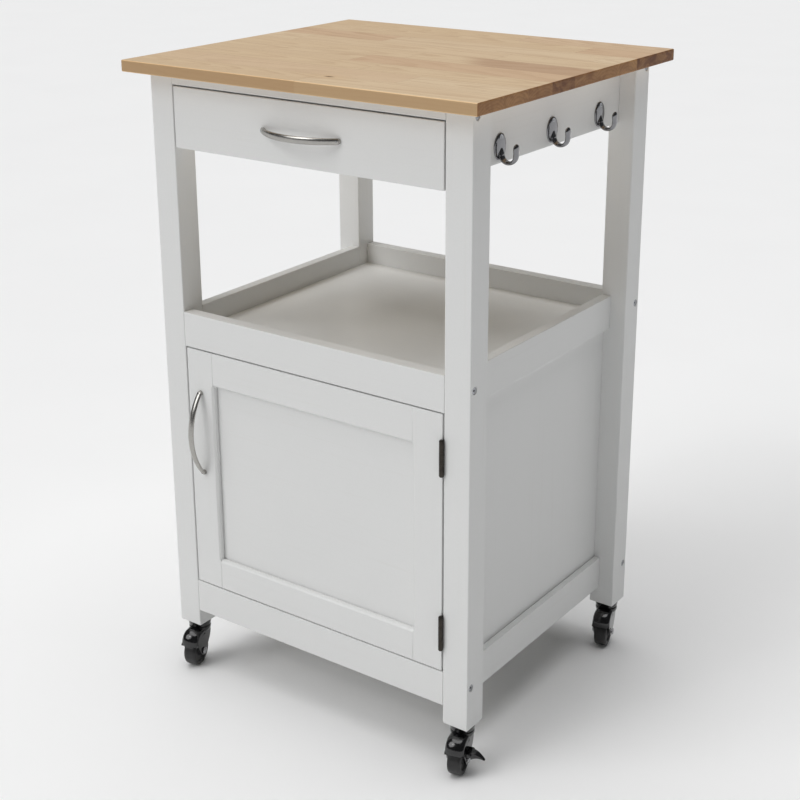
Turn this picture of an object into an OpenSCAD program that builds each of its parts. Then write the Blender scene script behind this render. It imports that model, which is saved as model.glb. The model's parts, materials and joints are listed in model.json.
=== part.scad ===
// Kitchen island cart: butcher-block worktop, one drawer, an open shelf, a cabinet and four casters.
// Origin on the floor below the middle of the worktop; +X right, +Y to the rear, +Z up; millimetres.

/* [Overall] */
// Height from the floor to the working surface
cart_h = 914; // [850:1:1100]
// Width of the worktop, side to side
top_w = 564; // [480:1:720]
// Depth of the worktop, front to back
top_d = 498; // [420:1:620]
// Thickness of the worktop
top_t = 16; // [14:1:30]
// Overhang of the worktop past the legs at each side
over_side = 24; // [20:1:40]
// Overhang of the worktop past the legs at the front
over_front = 29; // [28:1:45]
// Overhang of the worktop past the legs at the rear
over_back = 25; // [10:1:40]

/* [Frame] */
// Width of each square leg
leg_w = 39; // [34:1:50]
// Height of every rail between the legs
rail_h = 50; // [40:1:70]
// Thickness of the front and rear rails
rail_t = 18; // [16:1:22]
// Thickness of the side rails and aprons
side_t = 15; // [14:1:18]
// Height of the bottom rails above the leg ends
foot_h = 27; // [10:1:60]
// Height of the thin rail above the drawer
stretcher_h = 15; // [14:1:25]
// Height of the side and rear aprons
apron_h = 82; // [74:1:120]
// Clear height between the shelf rim and the drawer
bay_h = 233; // [150:1:300]
// Length of the tenons on the side rails
tenon_l = 12; // [8:1:16]

/* [Boards] */
// Depth of the open shelf below its rim
shelf_recess = 31; // [15:1:36]
// Thickness of the open shelf, the cabinet floor and the inner shelf
board_t = 9; // [6:1:10]
// Thickness of the side and rear panels
panel_t = 5; // [3:1:6]
// Depth of the cabinet floor below the top of the bottom rails
floor_recess = 4; // [2:1:12]
// Width and height of the cleats under the boards
cleat_w = 10; // [9:1:12]
// Height of the inner shelf above the cabinet floor
inner_shelf_h = 168; // [100:1:240]

/* [Drawer] */
// Height of the drawer front
drawer_front_h = 83; // [76:1:120]
// Gap round the drawer front and above and below the door
front_gap = 2; // [1.5:0.5:3]
// Height of the drawer box sides
drawer_side_h = 48; // [40:1:60]
// Thickness of the drawer box sides and back
drawer_side_t = 12; // [10:1:15]
// Thickness of the drawer bottom
drawer_bottom_t = 4; // [3:1:6]
// Clear depth left behind the drawer box
drawer_back_gap = 16; // [10:1:30]
// Height of each wooden drawer runner
runner_h = 14; // [10:1:18]
// Depth of the groove that each runner slides in
groove_d = 6.3; // [5:0.1:7]

/* [Door] */
// Width of the door stiles
stile_w = 46; // [40:1:60]
// Height of the door's top rail
door_rail_top_h = 50; // [40:1:60]
// Height of the door's bottom rail
door_rail_low_h = 45; // [40:1:60]
// Thickness of the door panel
door_panel_t = 6; // [4:1:7]
// Depth of the panel behind the face of the door
panel_recess = 9; // [6:1:10]
// Bevel on the inner front edges of the door frame
bevel = 3; // [1:0.5:4]
// Distance of each hinge's middle from the end of the door
hinge_inset = 58; // [40:1:90]
// Distance of the door handle's middle below the door's top
door_handle_drop = 124; // [90:1:180]

/* [Hardware] */
// Distance between the feet of a handle
handle_cc = 122; // [96:1:160]
// Projection of a handle
handle_out = 27; // [22:1:28]
// Width of the handle's bar
bow_w = 12; // [8:1:14]
// Thickness of the handle's bar
bow_t = 5; // [4:0.5:7]
// Length of a hinge
hinge_l = 48; // [40:1:60]
// Distance from one hook to the next
hook_pitch = 126; // [60:1:140]
// Projection of a hook
hook_out = 26; // [22:1:44]
// Diameter of the cross bolts
bolt_d = 6; // [5:1:8]

/* [Casters] */
// Height of a caster, from the floor to the leg end
caster_h = 69; // [64:1:90]
// Diameter of a caster wheel
wheel_d = 46; // [40:1:50]
// Width of a caster wheel
wheel_w = 19; // [16:1:24]
// Distance of the wheel's axle from the swivel axis
trail = 16; // [12:1:20]
// Angle of the casters as drawn, about the swivel axis
swivel_rest = 15; // [0:1:30]

/* [Hidden] */
$fn = 48;

// Named clearances
fit = 0.05;          // round a screw, bolt, dowel or pin in its hole
seat = 0.15;         // round a board in its groove
slide_gap = 0.3;     // between pieces that move past each other
run = 0.05;          // radial clearance of a pin that turns

// Colours
paint = [0.93, 0.93, 0.92];
inside_paint = [0.9, 0.9, 0.89];
wood = [0.83, 0.66, 0.45];
pine = [0.87, 0.76, 0.58];
nickel = [0.7, 0.69, 0.67];
steel = [0.62, 0.62, 0.63];
dark_steel = [0.25, 0.24, 0.23];
black = [0.06, 0.06, 0.065];

// Heights
under_top = cart_h - top_t;
bottom_z0 = caster_h + foot_h;
bottom_z1 = bottom_z0 + rail_h;
drawer_z1 = under_top - stretcher_h - front_gap;
drawer_z0 = drawer_z1 - drawer_front_h;
mid_z1 = drawer_z0 - bay_h;
mid_z0 = mid_z1 - rail_h;
apron_z0 = under_top - apron_h;
shelf_z1 = mid_z1 - shelf_recess;
floor_z1 = bottom_z1 - floor_recess;
inner_shelf_z0 = floor_z1 + inner_shelf_h;
door_z0 = bottom_z1 + front_gap;
door_z1 = mid_z0 - front_gap;

// Plan of the frame
leg_x1 = top_w / 2 - over_side;
leg_x0 = leg_x1 - leg_w;
leg_xc = leg_x1 - leg_w / 2;
side_x1 = leg_x0 + side_t;
front_y = -top_d / 2 + over_front;
rear_y = top_d / 2 - over_back;
front_leg_y1 = front_y + leg_w;
rear_leg_y0 = rear_y - leg_w;
front_in_y = front_y + rail_t;
rear_in_y = rear_y - rail_t;
front_leg_yc = front_y + leg_w / 2;
rear_leg_yc = rear_y - leg_w / 2;
mid_y = (front_y + rear_y) / 2;

// Tenons of the side rails
tenon_t = 8;
tenon_shoulder = 6;
tenon_x0 = leg_x0 + (side_t - tenon_t) / 2;

// Pins of the inner shelf, with a hole above and below each for other heights
shelf_pin_r = 2.5;
shelf_pin_out = 9;
shelf_pin_in = 8;
shelf_pin_pitch = 32;
shelf_pin_ys = [front_leg_y1 - 12, rear_leg_y0 + 12];

// Cross bolts and their barrel nuts
bolt_r = bolt_d / 2;
bolt_head_r = bolt_d * 0.83;
bolt_head_h = 5;
bolt_sink = 6;
bolt_hole_r = bolt_r + 0.3;
nut_r = 5;
nut_l = 14;
nut_in = 32;
bolt_past_nut = 8;
bolt_drop = 14;
bolt_zs = [under_top - stretcher_h / 2, mid_z1 - bolt_drop, bottom_z1 - bolt_drop];

// Caster stems and their inserts
stem_r = 4;
stem_l = 25;
insert_r = 6;
insert_l = 26;

// Screws
screw_r = 1.8;
screw_head_r = 3.5;
screw_head_h = 2.2;
recess_w = 0.8;
recess_d = 1.2;
cleat_h = 10;
top_cleat_w = 15;
cleat_screw_l = 19;
top_screw_l = stretcher_h + 11;
screw_in = 60;

// Drawer
drawer_x1 = leg_x0 - front_gap;
drawer_y1 = rear_in_y - drawer_back_gap;
box_z0 = max(apron_z0, drawer_z0 + 5) + 1;
box_z1 = box_z0 + drawer_side_h;
bottom_board_z0 = box_z0 + 6;
bottom_tongue = 5;
runner_t = front_gap + groove_d - slide_gap;
runner_z0 = (box_z0 + box_z1) / 2 - runner_h / 2 + 4;
runner_y0 = front_in_y + 3;
runner_y1 = rear_in_y - 6;
runner_screw_l = 19;
stop_w = 20;
stop_x = 150;

// Door and hinges
leaf_t = 1;
leaf_d = 17;
knuckle_r = 3.2;
pin_r = 1.5;
door_side_gap = 2 * leaf_t + slide_gap;
door_x1 = leg_x0 - door_side_gap;
stile_x0 = door_x1 - stile_w;
panel_tongue = 8;
panel_y0 = front_y + panel_recess;
hinge_x = leg_x0 - door_side_gap / 2;
hinge_y = front_y - knuckle_r - slide_gap;
hinge_zs = [door_z0 + hinge_inset, door_z1 - hinge_inset];
hinge_screw_l = 14;
hinge_screw_y = front_y + 9;
hinge_screw_dz = 14;
door_handle_x = -door_x1 + stile_w / 2;
door_handle_z = door_z1 - door_handle_drop;
drawer_handle_z = (drawer_z0 + drawer_z1) / 2;
catch_w = 13;
catch_h = 36;
catch_d = 18;
strike_t = 1.1;
strike_w = 12;
strike_h = 24;

// Handles
bow_rise = handle_out - bow_t / 2;
bow_r = (handle_cc * handle_cc / 4 + bow_rise * bow_rise) / (2 * bow_rise);
bow_half = asin(handle_cc / 2 / bow_r);
foot_r = 4.2;
foot_l = 9;
foot_x = handle_cc / 2 - 1.5;
handle_screw_r = 2;
handle_screw_in = 6;
handle_head_r = 4;
handle_head_h = 2.4;

// Hooks
hook_plate_w = 27;
hook_plate_h = 34;
hook_plate_t = 2.4;
hook_bar_w = 10;
hook_bar_t = 4.4;
hook_z = apron_z0 + 21;
hook_bend_r = (hook_out - hook_bar_t / 2 - 3) / 2;
hook_tip_l = 14;
hook_bend_z = 9;
hook_screw_zs = [2, 12];
hook_screw_l = 13;

// Casters
wheel_r = wheel_d / 2;
axle_r = 4;
axle_head_r = 5.5;
axle_head_h = 2.6;
wheel_side_gap = 1;
cheek_t = 3;
slot_w = wheel_w + 2 * wheel_side_gap;
fork_w = slot_w + 2 * cheek_t;
well_r = wheel_r + 2;
cup_r = 18;
cup_h = 9;
journal_r = 5;
crown_z1 = caster_h - cup_h - slide_gap;
rivet_r = 8;
rivet_h = 2.2;
crown_z0 = crown_z1 - 6;
lever_w = 14;
lever_l = 20;
lever_slope = 14;
pad_h = 4.5;
lever_x = fork_w / 2 + 4;
lever_z = wheel_r + 11;
lever_knuckle_r = 3;
lever_pin_r = 1.5;
lug_t = 2.5;
pad_x = wheel_w / 2 + 1.6;
caster_xy = [[-leg_xc, front_leg_yc], [leg_xc, front_leg_yc], [-leg_xc, rear_leg_yc], [leg_xc, rear_leg_yc]];

// ---- Helpers ----

// A block between two values on each axis
module block(x, y, z) {
    translate([x[0], y[0], z[0]]) cube([x[1] - x[0], y[1] - y[0], z[1] - z[0]]);
}

module rod_x(x0, x1, y, z, r) {
    translate([x0, y, z]) rotate([0, 90, 0]) cylinder(r = r, h = x1 - x0);
}

module rod_y(x, y0, y1, z, r) {
    translate([x, y0, z]) rotate([-90, 0, 0]) cylinder(r = r, h = y1 - y0);
}

// The same shape on the left or the right half
module on_side(s) {
    mirror([s < 0 ? 1 : 0, 0, 0]) children();
}

// A countersunk screw that starts at the origin and goes up; c is the clearance of its hole
module screw_form(l, c) {
    cylinder(r1 = screw_head_r + c, r2 = screw_r + c, h = screw_head_h);
    cylinder(r = screw_r + c, h = l + (c > 0 ? 0.3 : 0));
}

module screw(l) {
    difference() {
        screw_form(l, 0);
        for (turn = [0, 90]) rotate([0, 0, turn])
            translate([-screw_r, -recess_w / 2, -1]) cube([2 * screw_r, recess_w, recess_d + 1]);
    }
}

// Screws, or with c their holes, at [position, rotation, length]
module screws_at(places, c = 0) {
    for (p = places) translate(p[0]) rotate(p[1]) {
        if (c > 0) screw_form(p[2], c);
        else screw(p[2]);
    }
}

UP = [0, 0, 0];
TO_RIGHT = [0, 90, 0];
TO_LEFT = [0, -90, 0];
TO_REAR = [-90, 0, 0];
TO_FRONT = [90, 0, 0];

// ---- Where the screws go ----

top_screws = concat(
    [for (s = [-1, 1]) [[s * (leg_x0 - screw_in), (front_y + front_in_y) / 2, under_top - stretcher_h], UP, top_screw_l]],
    [for (s = [-1, 1]) [[s * (leg_x0 - screw_in), rear_in_y - top_cleat_w / 2, under_top - stretcher_h], UP, top_screw_l]],
    [for (s = [-1, 1]) for (y = [front_leg_y1 + screw_in, rear_leg_y0 - screw_in])
        [[s * (leg_x0 - top_cleat_w / 2), y, under_top - stretcher_h], UP, top_screw_l]]
);

// Screws through the cleats at height z into the side, front and rear rails
function side_cleat_screws(s, z, w, d) = [for (y = [front_leg_y1 + d, rear_leg_y0 - d])
    [[s * (leg_x0 - w), y, z], s > 0 ? TO_RIGHT : TO_LEFT, w + cleat_screw_l - cleat_w - 1]];
function rear_cleat_screws(z, w, d) = [for (s = [-1, 1])
    [[s * (leg_x0 - d), rear_in_y - w, z], TO_REAR, w + cleat_screw_l - cleat_w]];
function front_cleat_screws(z, d) = [for (s = [-1, 1])
    [[s * (leg_x0 - d), front_in_y + cleat_w, z], TO_FRONT, cleat_screw_l]];

shelf_cleat_z = shelf_z1 - board_t - cleat_h / 2;
floor_cleat_z = floor_z1 - board_t - cleat_h / 2;
top_cleat_z = under_top - stretcher_h / 2;
top_side_in = screw_in + 30;

function runner_screws(s) = [for (y = [runner_y0 + 10, mid_y + hook_pitch / 4, runner_y1 - 10])
    [[s * (leg_x0 - runner_t), y, runner_z0 + runner_h / 2], s > 0 ? TO_RIGHT : TO_LEFT, runner_screw_l]];
hinge_leg_screws = [for (z = hinge_zs) for (d = [-1, 1])
    [[leg_x0 - leaf_t, hinge_screw_y, z + d * hinge_screw_dz], TO_RIGHT, hinge_screw_l]];
hinge_door_screws = [for (z = hinge_zs) for (d = [-1, 1])
    [[door_x1 + leaf_t, hinge_screw_y, z + d * hinge_screw_dz], TO_LEFT, hinge_screw_l]];
catch_screws = [for (d = [-1, 1])
    [[-leg_x0 + catch_w, front_leg_y1 - 8, door_handle_z + d * 12], TO_LEFT, catch_w + 12]];
strike_screws = [[[-door_x1 + 1 + strike_w / 2, front_in_y + strike_t, door_handle_z], TO_FRONT, 10]];
hook_ys = [mid_y - hook_pitch, mid_y, mid_y + hook_pitch];
hook_screws = [for (y = hook_ys) for (z = hook_screw_zs)
    [[side_x1 + hook_plate_t, y, hook_z + z], TO_LEFT, hook_screw_l]];
back_screws = [for (s = [-1, 1]) for (z = [box_z0 + 14, box_z1 - 7])
    [[s * drawer_x1, drawer_y1 - drawer_side_t / 2, z], s > 0 ? TO_LEFT : TO_RIGHT, drawer_side_t + 14]];

// ---- Worktop and frame ----

module worktop() color(wood) difference() {
    block([-top_w / 2, top_w / 2], [-top_d / 2, top_d / 2], [under_top, cart_h]);
    screws_at(top_screws, fit);
}

// A leg on the right half; front or rear
module leg(front) {
    y0 = front ? front_y : rear_leg_y0;
    bolt_y = front ? (front_y + front_in_y) / 2 : (rear_y + rear_in_y) / 2;
    mortise_y = front ? [front_leg_y1 - tenon_l - 0.5, front_leg_y1 + 1] : [rear_leg_y0 - 1, rear_leg_y0 + tenon_l + 0.5];
    difference() {
        block([leg_x0, leg_x1], [y0, y0 + leg_w], [caster_h, under_top]);
        for (z = bolt_zs) {
            rod_x(leg_x0 - 1, leg_x1 + 1, bolt_y, z, bolt_hole_r);
            rod_x(leg_x1 - bolt_sink, leg_x1 + 1, bolt_y, z, bolt_head_r + 0.4);
        }
        for (zz = [[bottom_z0, bottom_z1], [mid_z0, mid_z1], [apron_z0, under_top]])
            block([tenon_x0 - seat, tenon_x0 + tenon_t + seat], mortise_y,
                  [zz[0] + tenon_shoulder - seat, zz[1] - tenon_shoulder + seat]);
        translate([leg_xc, y0 + leg_w / 2, caster_h - 1]) cylinder(r = insert_r, h = insert_l + 1.5);
        for (k = [-1:1])
            rod_x(leg_x0 - 1, leg_x0 + shelf_pin_in + 0.5, shelf_pin_ys[front ? 0 : 1],
                  inner_shelf_z0 - shelf_pin_r + k * shelf_pin_pitch, shelf_pin_r + fit);
        screws_at(runner_screws(1), fit);
    }
}

module leg_front_left() color(paint) difference() {
    on_side(-1) leg(true);
    screws_at(catch_screws, fit);
}

module leg_front_right() color(paint) difference() {
    leg(true);
    screws_at(hinge_leg_screws, fit);
}

module leg_rear_left() color(paint) on_side(-1) leg(false);

module leg_rear_right() color(paint) leg(false);

// A front or rear rail between the legs, bored at both ends for its bolts and barrel nuts.
// The nuts go in from the inner face, or from below where that face is seen
module bolted_rail(front, z0, z1, bolt_z, from_below = false) {
    yy = front ? [front_y, front_in_y] : [rear_in_y, rear_y];
    yc = (yy[0] + yy[1]) / 2;
    nut_y = front ? [front_in_y - nut_l - 0.5, front_in_y + 1] : [rear_in_y - 1, rear_in_y + nut_l + 0.5];
    difference() {
        block([-leg_x0, leg_x0], yy, [z0, z1]);
        for (s = [-1, 1]) on_side(s) {
            rod_x(leg_x0 - nut_in - bolt_past_nut - 2, leg_x0 + 1, yc, bolt_z, bolt_hole_r);
            if (from_below)
                translate([leg_x0 - nut_in, yc, z0 - 1])
                    cylinder(r = nut_r + fit, h = bolt_z + nut_l / 2 + 0.5 - z0 + 1);
            else
                rod_y(leg_x0 - nut_in, nut_y[0], nut_y[1], bolt_z, nut_r + fit);
        }
    }
}

// The groove that holds a panel behind the face of a rail
module side_rebate(s, z) {
    on_side(s) block([leg_x0 - 1, leg_x0 + panel_t + seat], [front_leg_y1 - 1, rear_leg_y0 + 1], z);
}

module rear_rebate(z) {
    block([-leg_x0 - 1, leg_x0 + 1], [rear_in_y - 1, rear_in_y + panel_t + seat], z);
}

rebate_h = 8;
low_rebate = [bottom_z1 - rebate_h, bottom_z1 + 1];
high_rebate = [mid_z0 - 1, mid_z0 + rebate_h];

// A side rail with a tenon at each end
module side_rail(s, z0, z1) {
    on_side(s) {
        block([leg_x0, side_x1], [front_leg_y1, rear_leg_y0], [z0, z1]);
        block([tenon_x0, tenon_x0 + tenon_t], [front_leg_y1 - tenon_l, rear_leg_y0 + tenon_l],
              [z0 + tenon_shoulder, z1 - tenon_shoulder]);
    }
}

module front_stretcher() color(paint) difference() {
    bolted_rail(true, under_top - stretcher_h, under_top, bolt_zs[0]);
    screws_at(top_screws, fit);
}

module side_apron(s) color(paint) difference() {
    side_rail(s, apron_z0, under_top);
    screws_at(side_cleat_screws(s, top_cleat_z, top_cleat_w, top_side_in), fit);
    screws_at(runner_screws(s), fit);
    if (s > 0) screws_at(hook_screws, fit);
}

module side_apron_left() side_apron(-1);

module side_apron_right() side_apron(1);

module rear_apron() color(paint) difference() {
    bolted_rail(false, apron_z0, under_top, bolt_zs[0]);
    screws_at(rear_cleat_screws(top_cleat_z, top_cleat_w, top_side_in), fit);
}

module front_mid_rail() color(paint) difference() {
    bolted_rail(true, mid_z0, mid_z1, bolt_zs[1], true);
    screws_at(front_cleat_screws(shelf_cleat_z, screw_in), fit);
}

module rear_mid_rail() color(paint) difference() {
    bolted_rail(false, mid_z0, mid_z1, bolt_zs[1], true);
    rear_rebate(high_rebate);
    screws_at(rear_cleat_screws(shelf_cleat_z, cleat_w, screw_in), fit);
}

module side_mid_rail(s) color(paint) difference() {
    side_rail(s, mid_z0, mid_z1);
    side_rebate(s, high_rebate);
    screws_at(side_cleat_screws(s, shelf_cleat_z, cleat_w, screw_in), fit);
}

module side_mid_rail_left() side_mid_rail(-1);

module side_mid_rail_right() side_mid_rail(1);

module front_bottom_rail() color(paint) difference() {
    bolted_rail(true, bottom_z0, bottom_z1, bolt_zs[2]);
    screws_at(front_cleat_screws(floor_cleat_z, screw_in), fit);
}

module rear_bottom_rail() color(paint) difference() {
    bolted_rail(false, bottom_z0, bottom_z1, bolt_zs[2]);
    rear_rebate(low_rebate);
    screws_at(rear_cleat_screws(floor_cleat_z, cleat_w, screw_in), fit);
}

module side_bottom_rail(s) color(paint) difference() {
    side_rail(s, bottom_z0, bottom_z1);
    side_rebate(s, low_rebate);
    screws_at(side_cleat_screws(s, floor_cleat_z, cleat_w, screw_in), fit);
}

module side_bottom_rail_left() side_bottom_rail(-1);

module side_bottom_rail_right() side_bottom_rail(1);

// ---- Shelves, floor and panels ----

// A board that fills the frame from inside face to inside face, its top at z1
module inner_board(z1, clear) {
    block([-leg_x0 + clear, leg_x0 - clear], [front_in_y + clear, rear_in_y - clear], [z1 - board_t, z1]);
}

module open_shelf() color(paint) inner_board(shelf_z1, seat);

module cabinet_floor() color(inside_paint) inner_board(floor_z1, seat);

// The inner shelf lies loose on its four pins
module inner_shelf() color(inside_paint)
    block([-leg_x0 + 1, leg_x0 - 1], [front_in_y + 3, rear_in_y - 1], [inner_shelf_z0, inner_shelf_z0 + board_t]);

module shelf_pins() color(steel) for (s = [-1, 1]) on_side(s) for (y = shelf_pin_ys)
    rod_x(leg_x0 - shelf_pin_out, leg_x0 + shelf_pin_in, y, inner_shelf_z0 - shelf_pin_r, shelf_pin_r);

module side_cleat(z, w, h) block([leg_x0 - w, leg_x0], [front_leg_y1, rear_leg_y0], [z - h / 2, z + h / 2]);

module cross_cleat(y, z, h) block([-leg_x0 + 25, leg_x0 - 25], y, [z - h / 2, z + h / 2]);

module cleats() color(pine) difference() {
    union() {
        for (z = [shelf_cleat_z, floor_cleat_z]) {
            for (s = [-1, 1]) on_side(s) side_cleat(z, cleat_w, cleat_h);
            cross_cleat([front_in_y, front_in_y + cleat_w], z, cleat_h);
            cross_cleat([rear_in_y - cleat_w, rear_in_y], z, cleat_h);
        }
        for (s = [-1, 1]) on_side(s) side_cleat(top_cleat_z, top_cleat_w, stretcher_h);
        cross_cleat([rear_in_y - top_cleat_w, rear_in_y], top_cleat_z, stretcher_h);
    }
    screws_at(top_screws, fit);
    for (s = [-1, 1]) {
        screws_at(side_cleat_screws(s, top_cleat_z, top_cleat_w, top_side_in), fit);
        screws_at(side_cleat_screws(s, shelf_cleat_z, cleat_w, screw_in), fit);
        screws_at(side_cleat_screws(s, floor_cleat_z, cleat_w, screw_in), fit);
    }
    screws_at(rear_cleat_screws(top_cleat_z, top_cleat_w, top_side_in), fit);
    for (z = [shelf_cleat_z, floor_cleat_z]) {
        screws_at(front_cleat_screws(z, screw_in), fit);
        screws_at(rear_cleat_screws(z, cleat_w, screw_in), fit);
    }
}

panel_z = [bottom_z1 - rebate_h + seat, mid_z0 + rebate_h - seat];

module side_panel(s) color(paint) difference() {
    on_side(s) block([leg_x0, leg_x0 + panel_t], [front_leg_y1 + seat, rear_leg_y0 - seat], panel_z);
    screws_at(side_cleat_screws(s, shelf_cleat_z, cleat_w, screw_in), fit);
}

module side_panel_left() side_panel(-1);

module side_panel_right() side_panel(1);

module rear_panel() color(paint) difference() {
    block([-leg_x0 + seat, leg_x0 - seat], [rear_in_y, rear_in_y + panel_t], panel_z);
    screws_at(rear_cleat_screws(shelf_cleat_z, cleat_w, screw_in), fit);
}

// ---- Handles ----

// A bow handle along X, standing on the plane z = 0
module bow() difference() {
    union() {
        difference() {
            translate([0, 0, bow_rise - bow_r]) rotate([90, 0, 0]) rotate([0, 0, 90 - bow_half - 6])
                rotate_extrude(angle = 2 * bow_half + 12, $fn = 96) translate([bow_r, 0]) {
                    square([bow_t, bow_w - bow_t], center = true);
                    for (e = [-1, 1]) translate([0, e * (bow_w - bow_t) / 2]) circle(r = bow_t / 2);
                }
            block([-handle_cc, handle_cc], [-bow_w, bow_w], [-3 * bow_t, 0]);
        }
        for (s = [-1, 1]) translate([s * foot_x, 0, 0]) cylinder(r = foot_r, h = foot_l);
    }
    for (s = [-1, 1]) translate([s * foot_x, 0, -1]) cylinder(r = handle_screw_r + fit, h = handle_screw_in + 1.5);
}

// A screw from behind the wood of thickness t into a foot that stands on z = 0
module handle_screw(t) {
    translate([0, 0, -t]) cylinder(r = handle_screw_r, h = t + handle_screw_in);
    difference() {
        translate([0, 0, -t - handle_head_h]) cylinder(r = handle_head_r, h = handle_head_h);
        for (turn = [0, 90]) rotate([0, 0, turn]) translate([-2, -recess_w / 2, -t - handle_head_h - 1])
            cube([4, recess_w, recess_d + 1]);
    }
}

module at_drawer_handle() {
    translate([0, front_y, drawer_handle_z]) rotate([90, 0, 0]) children();
}

module at_door_handle() {
    translate([door_handle_x, front_y, door_handle_z]) rotate([90, 0, 0]) rotate([0, 0, 90]) children();
}

module handle_holes() {
    for (s = [-1, 1]) translate([s * foot_x, 0, -2 * rail_t]) cylinder(r = handle_screw_r + fit, h = 3 * rail_t);
}

module drawer_handle() color(nickel) at_drawer_handle() bow();

module door_handle() color(nickel) at_door_handle() bow();

// ---- Drawer ----

module drawer_front() color(paint) difference() {
    block([-drawer_x1, drawer_x1], [front_y, front_in_y], [drawer_z0, drawer_z1]);
    block([-drawer_x1 + drawer_side_t - bottom_tongue - seat, drawer_x1 - drawer_side_t + bottom_tongue + seat],
          [front_in_y - bottom_tongue - seat, front_in_y + 1],
          [bottom_board_z0 - seat, bottom_board_z0 + drawer_bottom_t + seat]);
    at_drawer_handle() handle_holes();
}

module drawer_side(s) color(pine) difference() {
    on_side(s) difference() {
        block([drawer_x1 - drawer_side_t, drawer_x1], [front_in_y, drawer_y1], [box_z0, box_z1]);
        block([drawer_x1 - groove_d, drawer_x1 + 1], [front_in_y - 1, drawer_y1 + 1],
              [runner_z0 - slide_gap, runner_z0 + runner_h + slide_gap]);
        block([drawer_x1 - drawer_side_t - 1, drawer_x1 - drawer_side_t + bottom_tongue + seat],
              [front_in_y - 1, drawer_y1 + 1],
              [bottom_board_z0 - seat, bottom_board_z0 + drawer_bottom_t + seat]);
    }
    screws_at(back_screws, fit);
}

module drawer_side_left() drawer_side(-1);

module drawer_side_right() drawer_side(1);

module drawer_back() color(pine) difference() {
    block([-drawer_x1 + drawer_side_t, drawer_x1 - drawer_side_t], [drawer_y1 - drawer_side_t, drawer_y1],
          [bottom_board_z0 + drawer_bottom_t + seat, box_z1]);
    screws_at(back_screws, fit);
}

module drawer_bottom() color(pine)
    block([-drawer_x1 + drawer_side_t - bottom_tongue, drawer_x1 - drawer_side_t + bottom_tongue],
          [front_in_y - bottom_tongue, drawer_y1],
          [bottom_board_z0, bottom_board_z0 + drawer_bottom_t]);

module drawer_screws() color(steel) {
    screws_at(back_screws);
    at_drawer_handle() for (s = [-1, 1]) translate([s * foot_x, 0, 0]) handle_screw(rail_t);
}

// The runners, and the two blocks that stop the drawer level with the frame
module drawer_runners() color(pine) for (s = [-1, 1]) {
    difference() {
        on_side(s) block([leg_x0 - runner_t, leg_x0], [runner_y0, runner_y1], [runner_z0, runner_z0 + runner_h]);
        screws_at(runner_screws(s), fit);
    }
    on_side(s) block([stop_x - stop_w / 2, stop_x + stop_w / 2], [drawer_y1 + slide_gap, rear_in_y],
                     [runner_z0, runner_z0 + stop_w]);
}

// ---- Door ----

module frame_groove(x, z) {
    block(x, [panel_y0 - seat, panel_y0 + door_panel_t + seat], z);
}

// A stile on the right half, grooved along its inner edge
module door_stile(s) {
    on_side(s) difference() {
        block([stile_x0, door_x1], [front_y, front_in_y], [door_z0, door_z1]);
        frame_groove([stile_x0 - 1, stile_x0 + panel_tongue + seat], [door_z0 - 1, door_z1 + 1]);
        translate([stile_x0, front_y, door_z0 + door_rail_low_h]) rotate([0, 0, 45])
            translate([-bevel / sqrt(2), -bevel / sqrt(2), 0])
            cube([sqrt(2) * bevel, sqrt(2) * bevel, door_z1 - door_z0 - door_rail_top_h - door_rail_low_h]);
    }
}

module door_stile_left() color(paint) difference() {
    door_stile(-1);
    at_door_handle() handle_holes();
    screws_at(strike_screws, fit);
}

module door_stile_right() color(paint) difference() {
    door_stile(1);
    screws_at(hinge_door_screws, fit);
}

// A rail between z0 and z1 whose inner edge is at z_edge
module door_rail(z0, z1, z_edge) {
    groove_z = z_edge == z0 ? [z0 - 1, z0 + panel_tongue + seat] : [z1 - panel_tongue - seat, z1 + 1];
    difference() {
        union() {
            block([-stile_x0, stile_x0], [front_y, front_in_y], [z0, z1]);
            block([-stile_x0 - panel_tongue, stile_x0 + panel_tongue],
                  [panel_y0, panel_y0 + door_panel_t], [z0, z1]);
        }
        frame_groove([-stile_x0 - panel_tongue - 1, stile_x0 + panel_tongue + 1], groove_z);
        translate([-stile_x0 - 1, front_y, z_edge]) rotate([45, 0, 0])
            translate([0, -bevel / sqrt(2), -bevel / sqrt(2)])
            cube([2 * stile_x0 + 2, sqrt(2) * bevel, sqrt(2) * bevel]);
    }
}

module door_top_rail() color(paint) door_rail(door_z1 - door_rail_top_h, door_z1, door_z1 - door_rail_top_h);

module door_bottom_rail() color(paint) door_rail(door_z0, door_z0 + door_rail_low_h, door_z0 + door_rail_low_h);

module door_panel() color(paint)
    block([-stile_x0 - panel_tongue + seat, stile_x0 + panel_tongue - seat], [panel_y0, panel_y0 + door_panel_t],
          [door_z0 + door_rail_low_h - panel_tongue + seat, door_z1 - door_rail_top_h + panel_tongue - seat]);

module door_screws() color(dark_steel) {
    screws_at(hinge_door_screws);
    screws_at(strike_screws);
    at_door_handle() for (s = [-1, 1]) translate([s * foot_x, 0, 0]) handle_screw(rail_t);
}

// The steel plate that the magnet holds
module strike_plate() color(steel) difference() {
    block([-door_x1 + 1, -door_x1 + 1 + strike_w], [front_in_y, front_in_y + strike_t],
          [door_handle_z - strike_h / 2, door_handle_z + strike_h / 2]);
    screws_at(strike_screws, fit);
}

// ---- Hinges ----

knuckle_l = hinge_l / 3;

// One knuckle of a hinge at height z, bored for the pin, with the web that joins it to its leaf
module knuckle(x, z0, z1) difference() {
    union() {
        translate([hinge_x, hinge_y, z0]) cylinder(r = knuckle_r, h = z1 - z0);
        block(x, [hinge_y, front_y + 1], [z0, z1]);
    }
    translate([hinge_x, hinge_y, z0 - 1]) cylinder(r = pin_r + run, h = z1 - z0 + 2);
}

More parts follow.
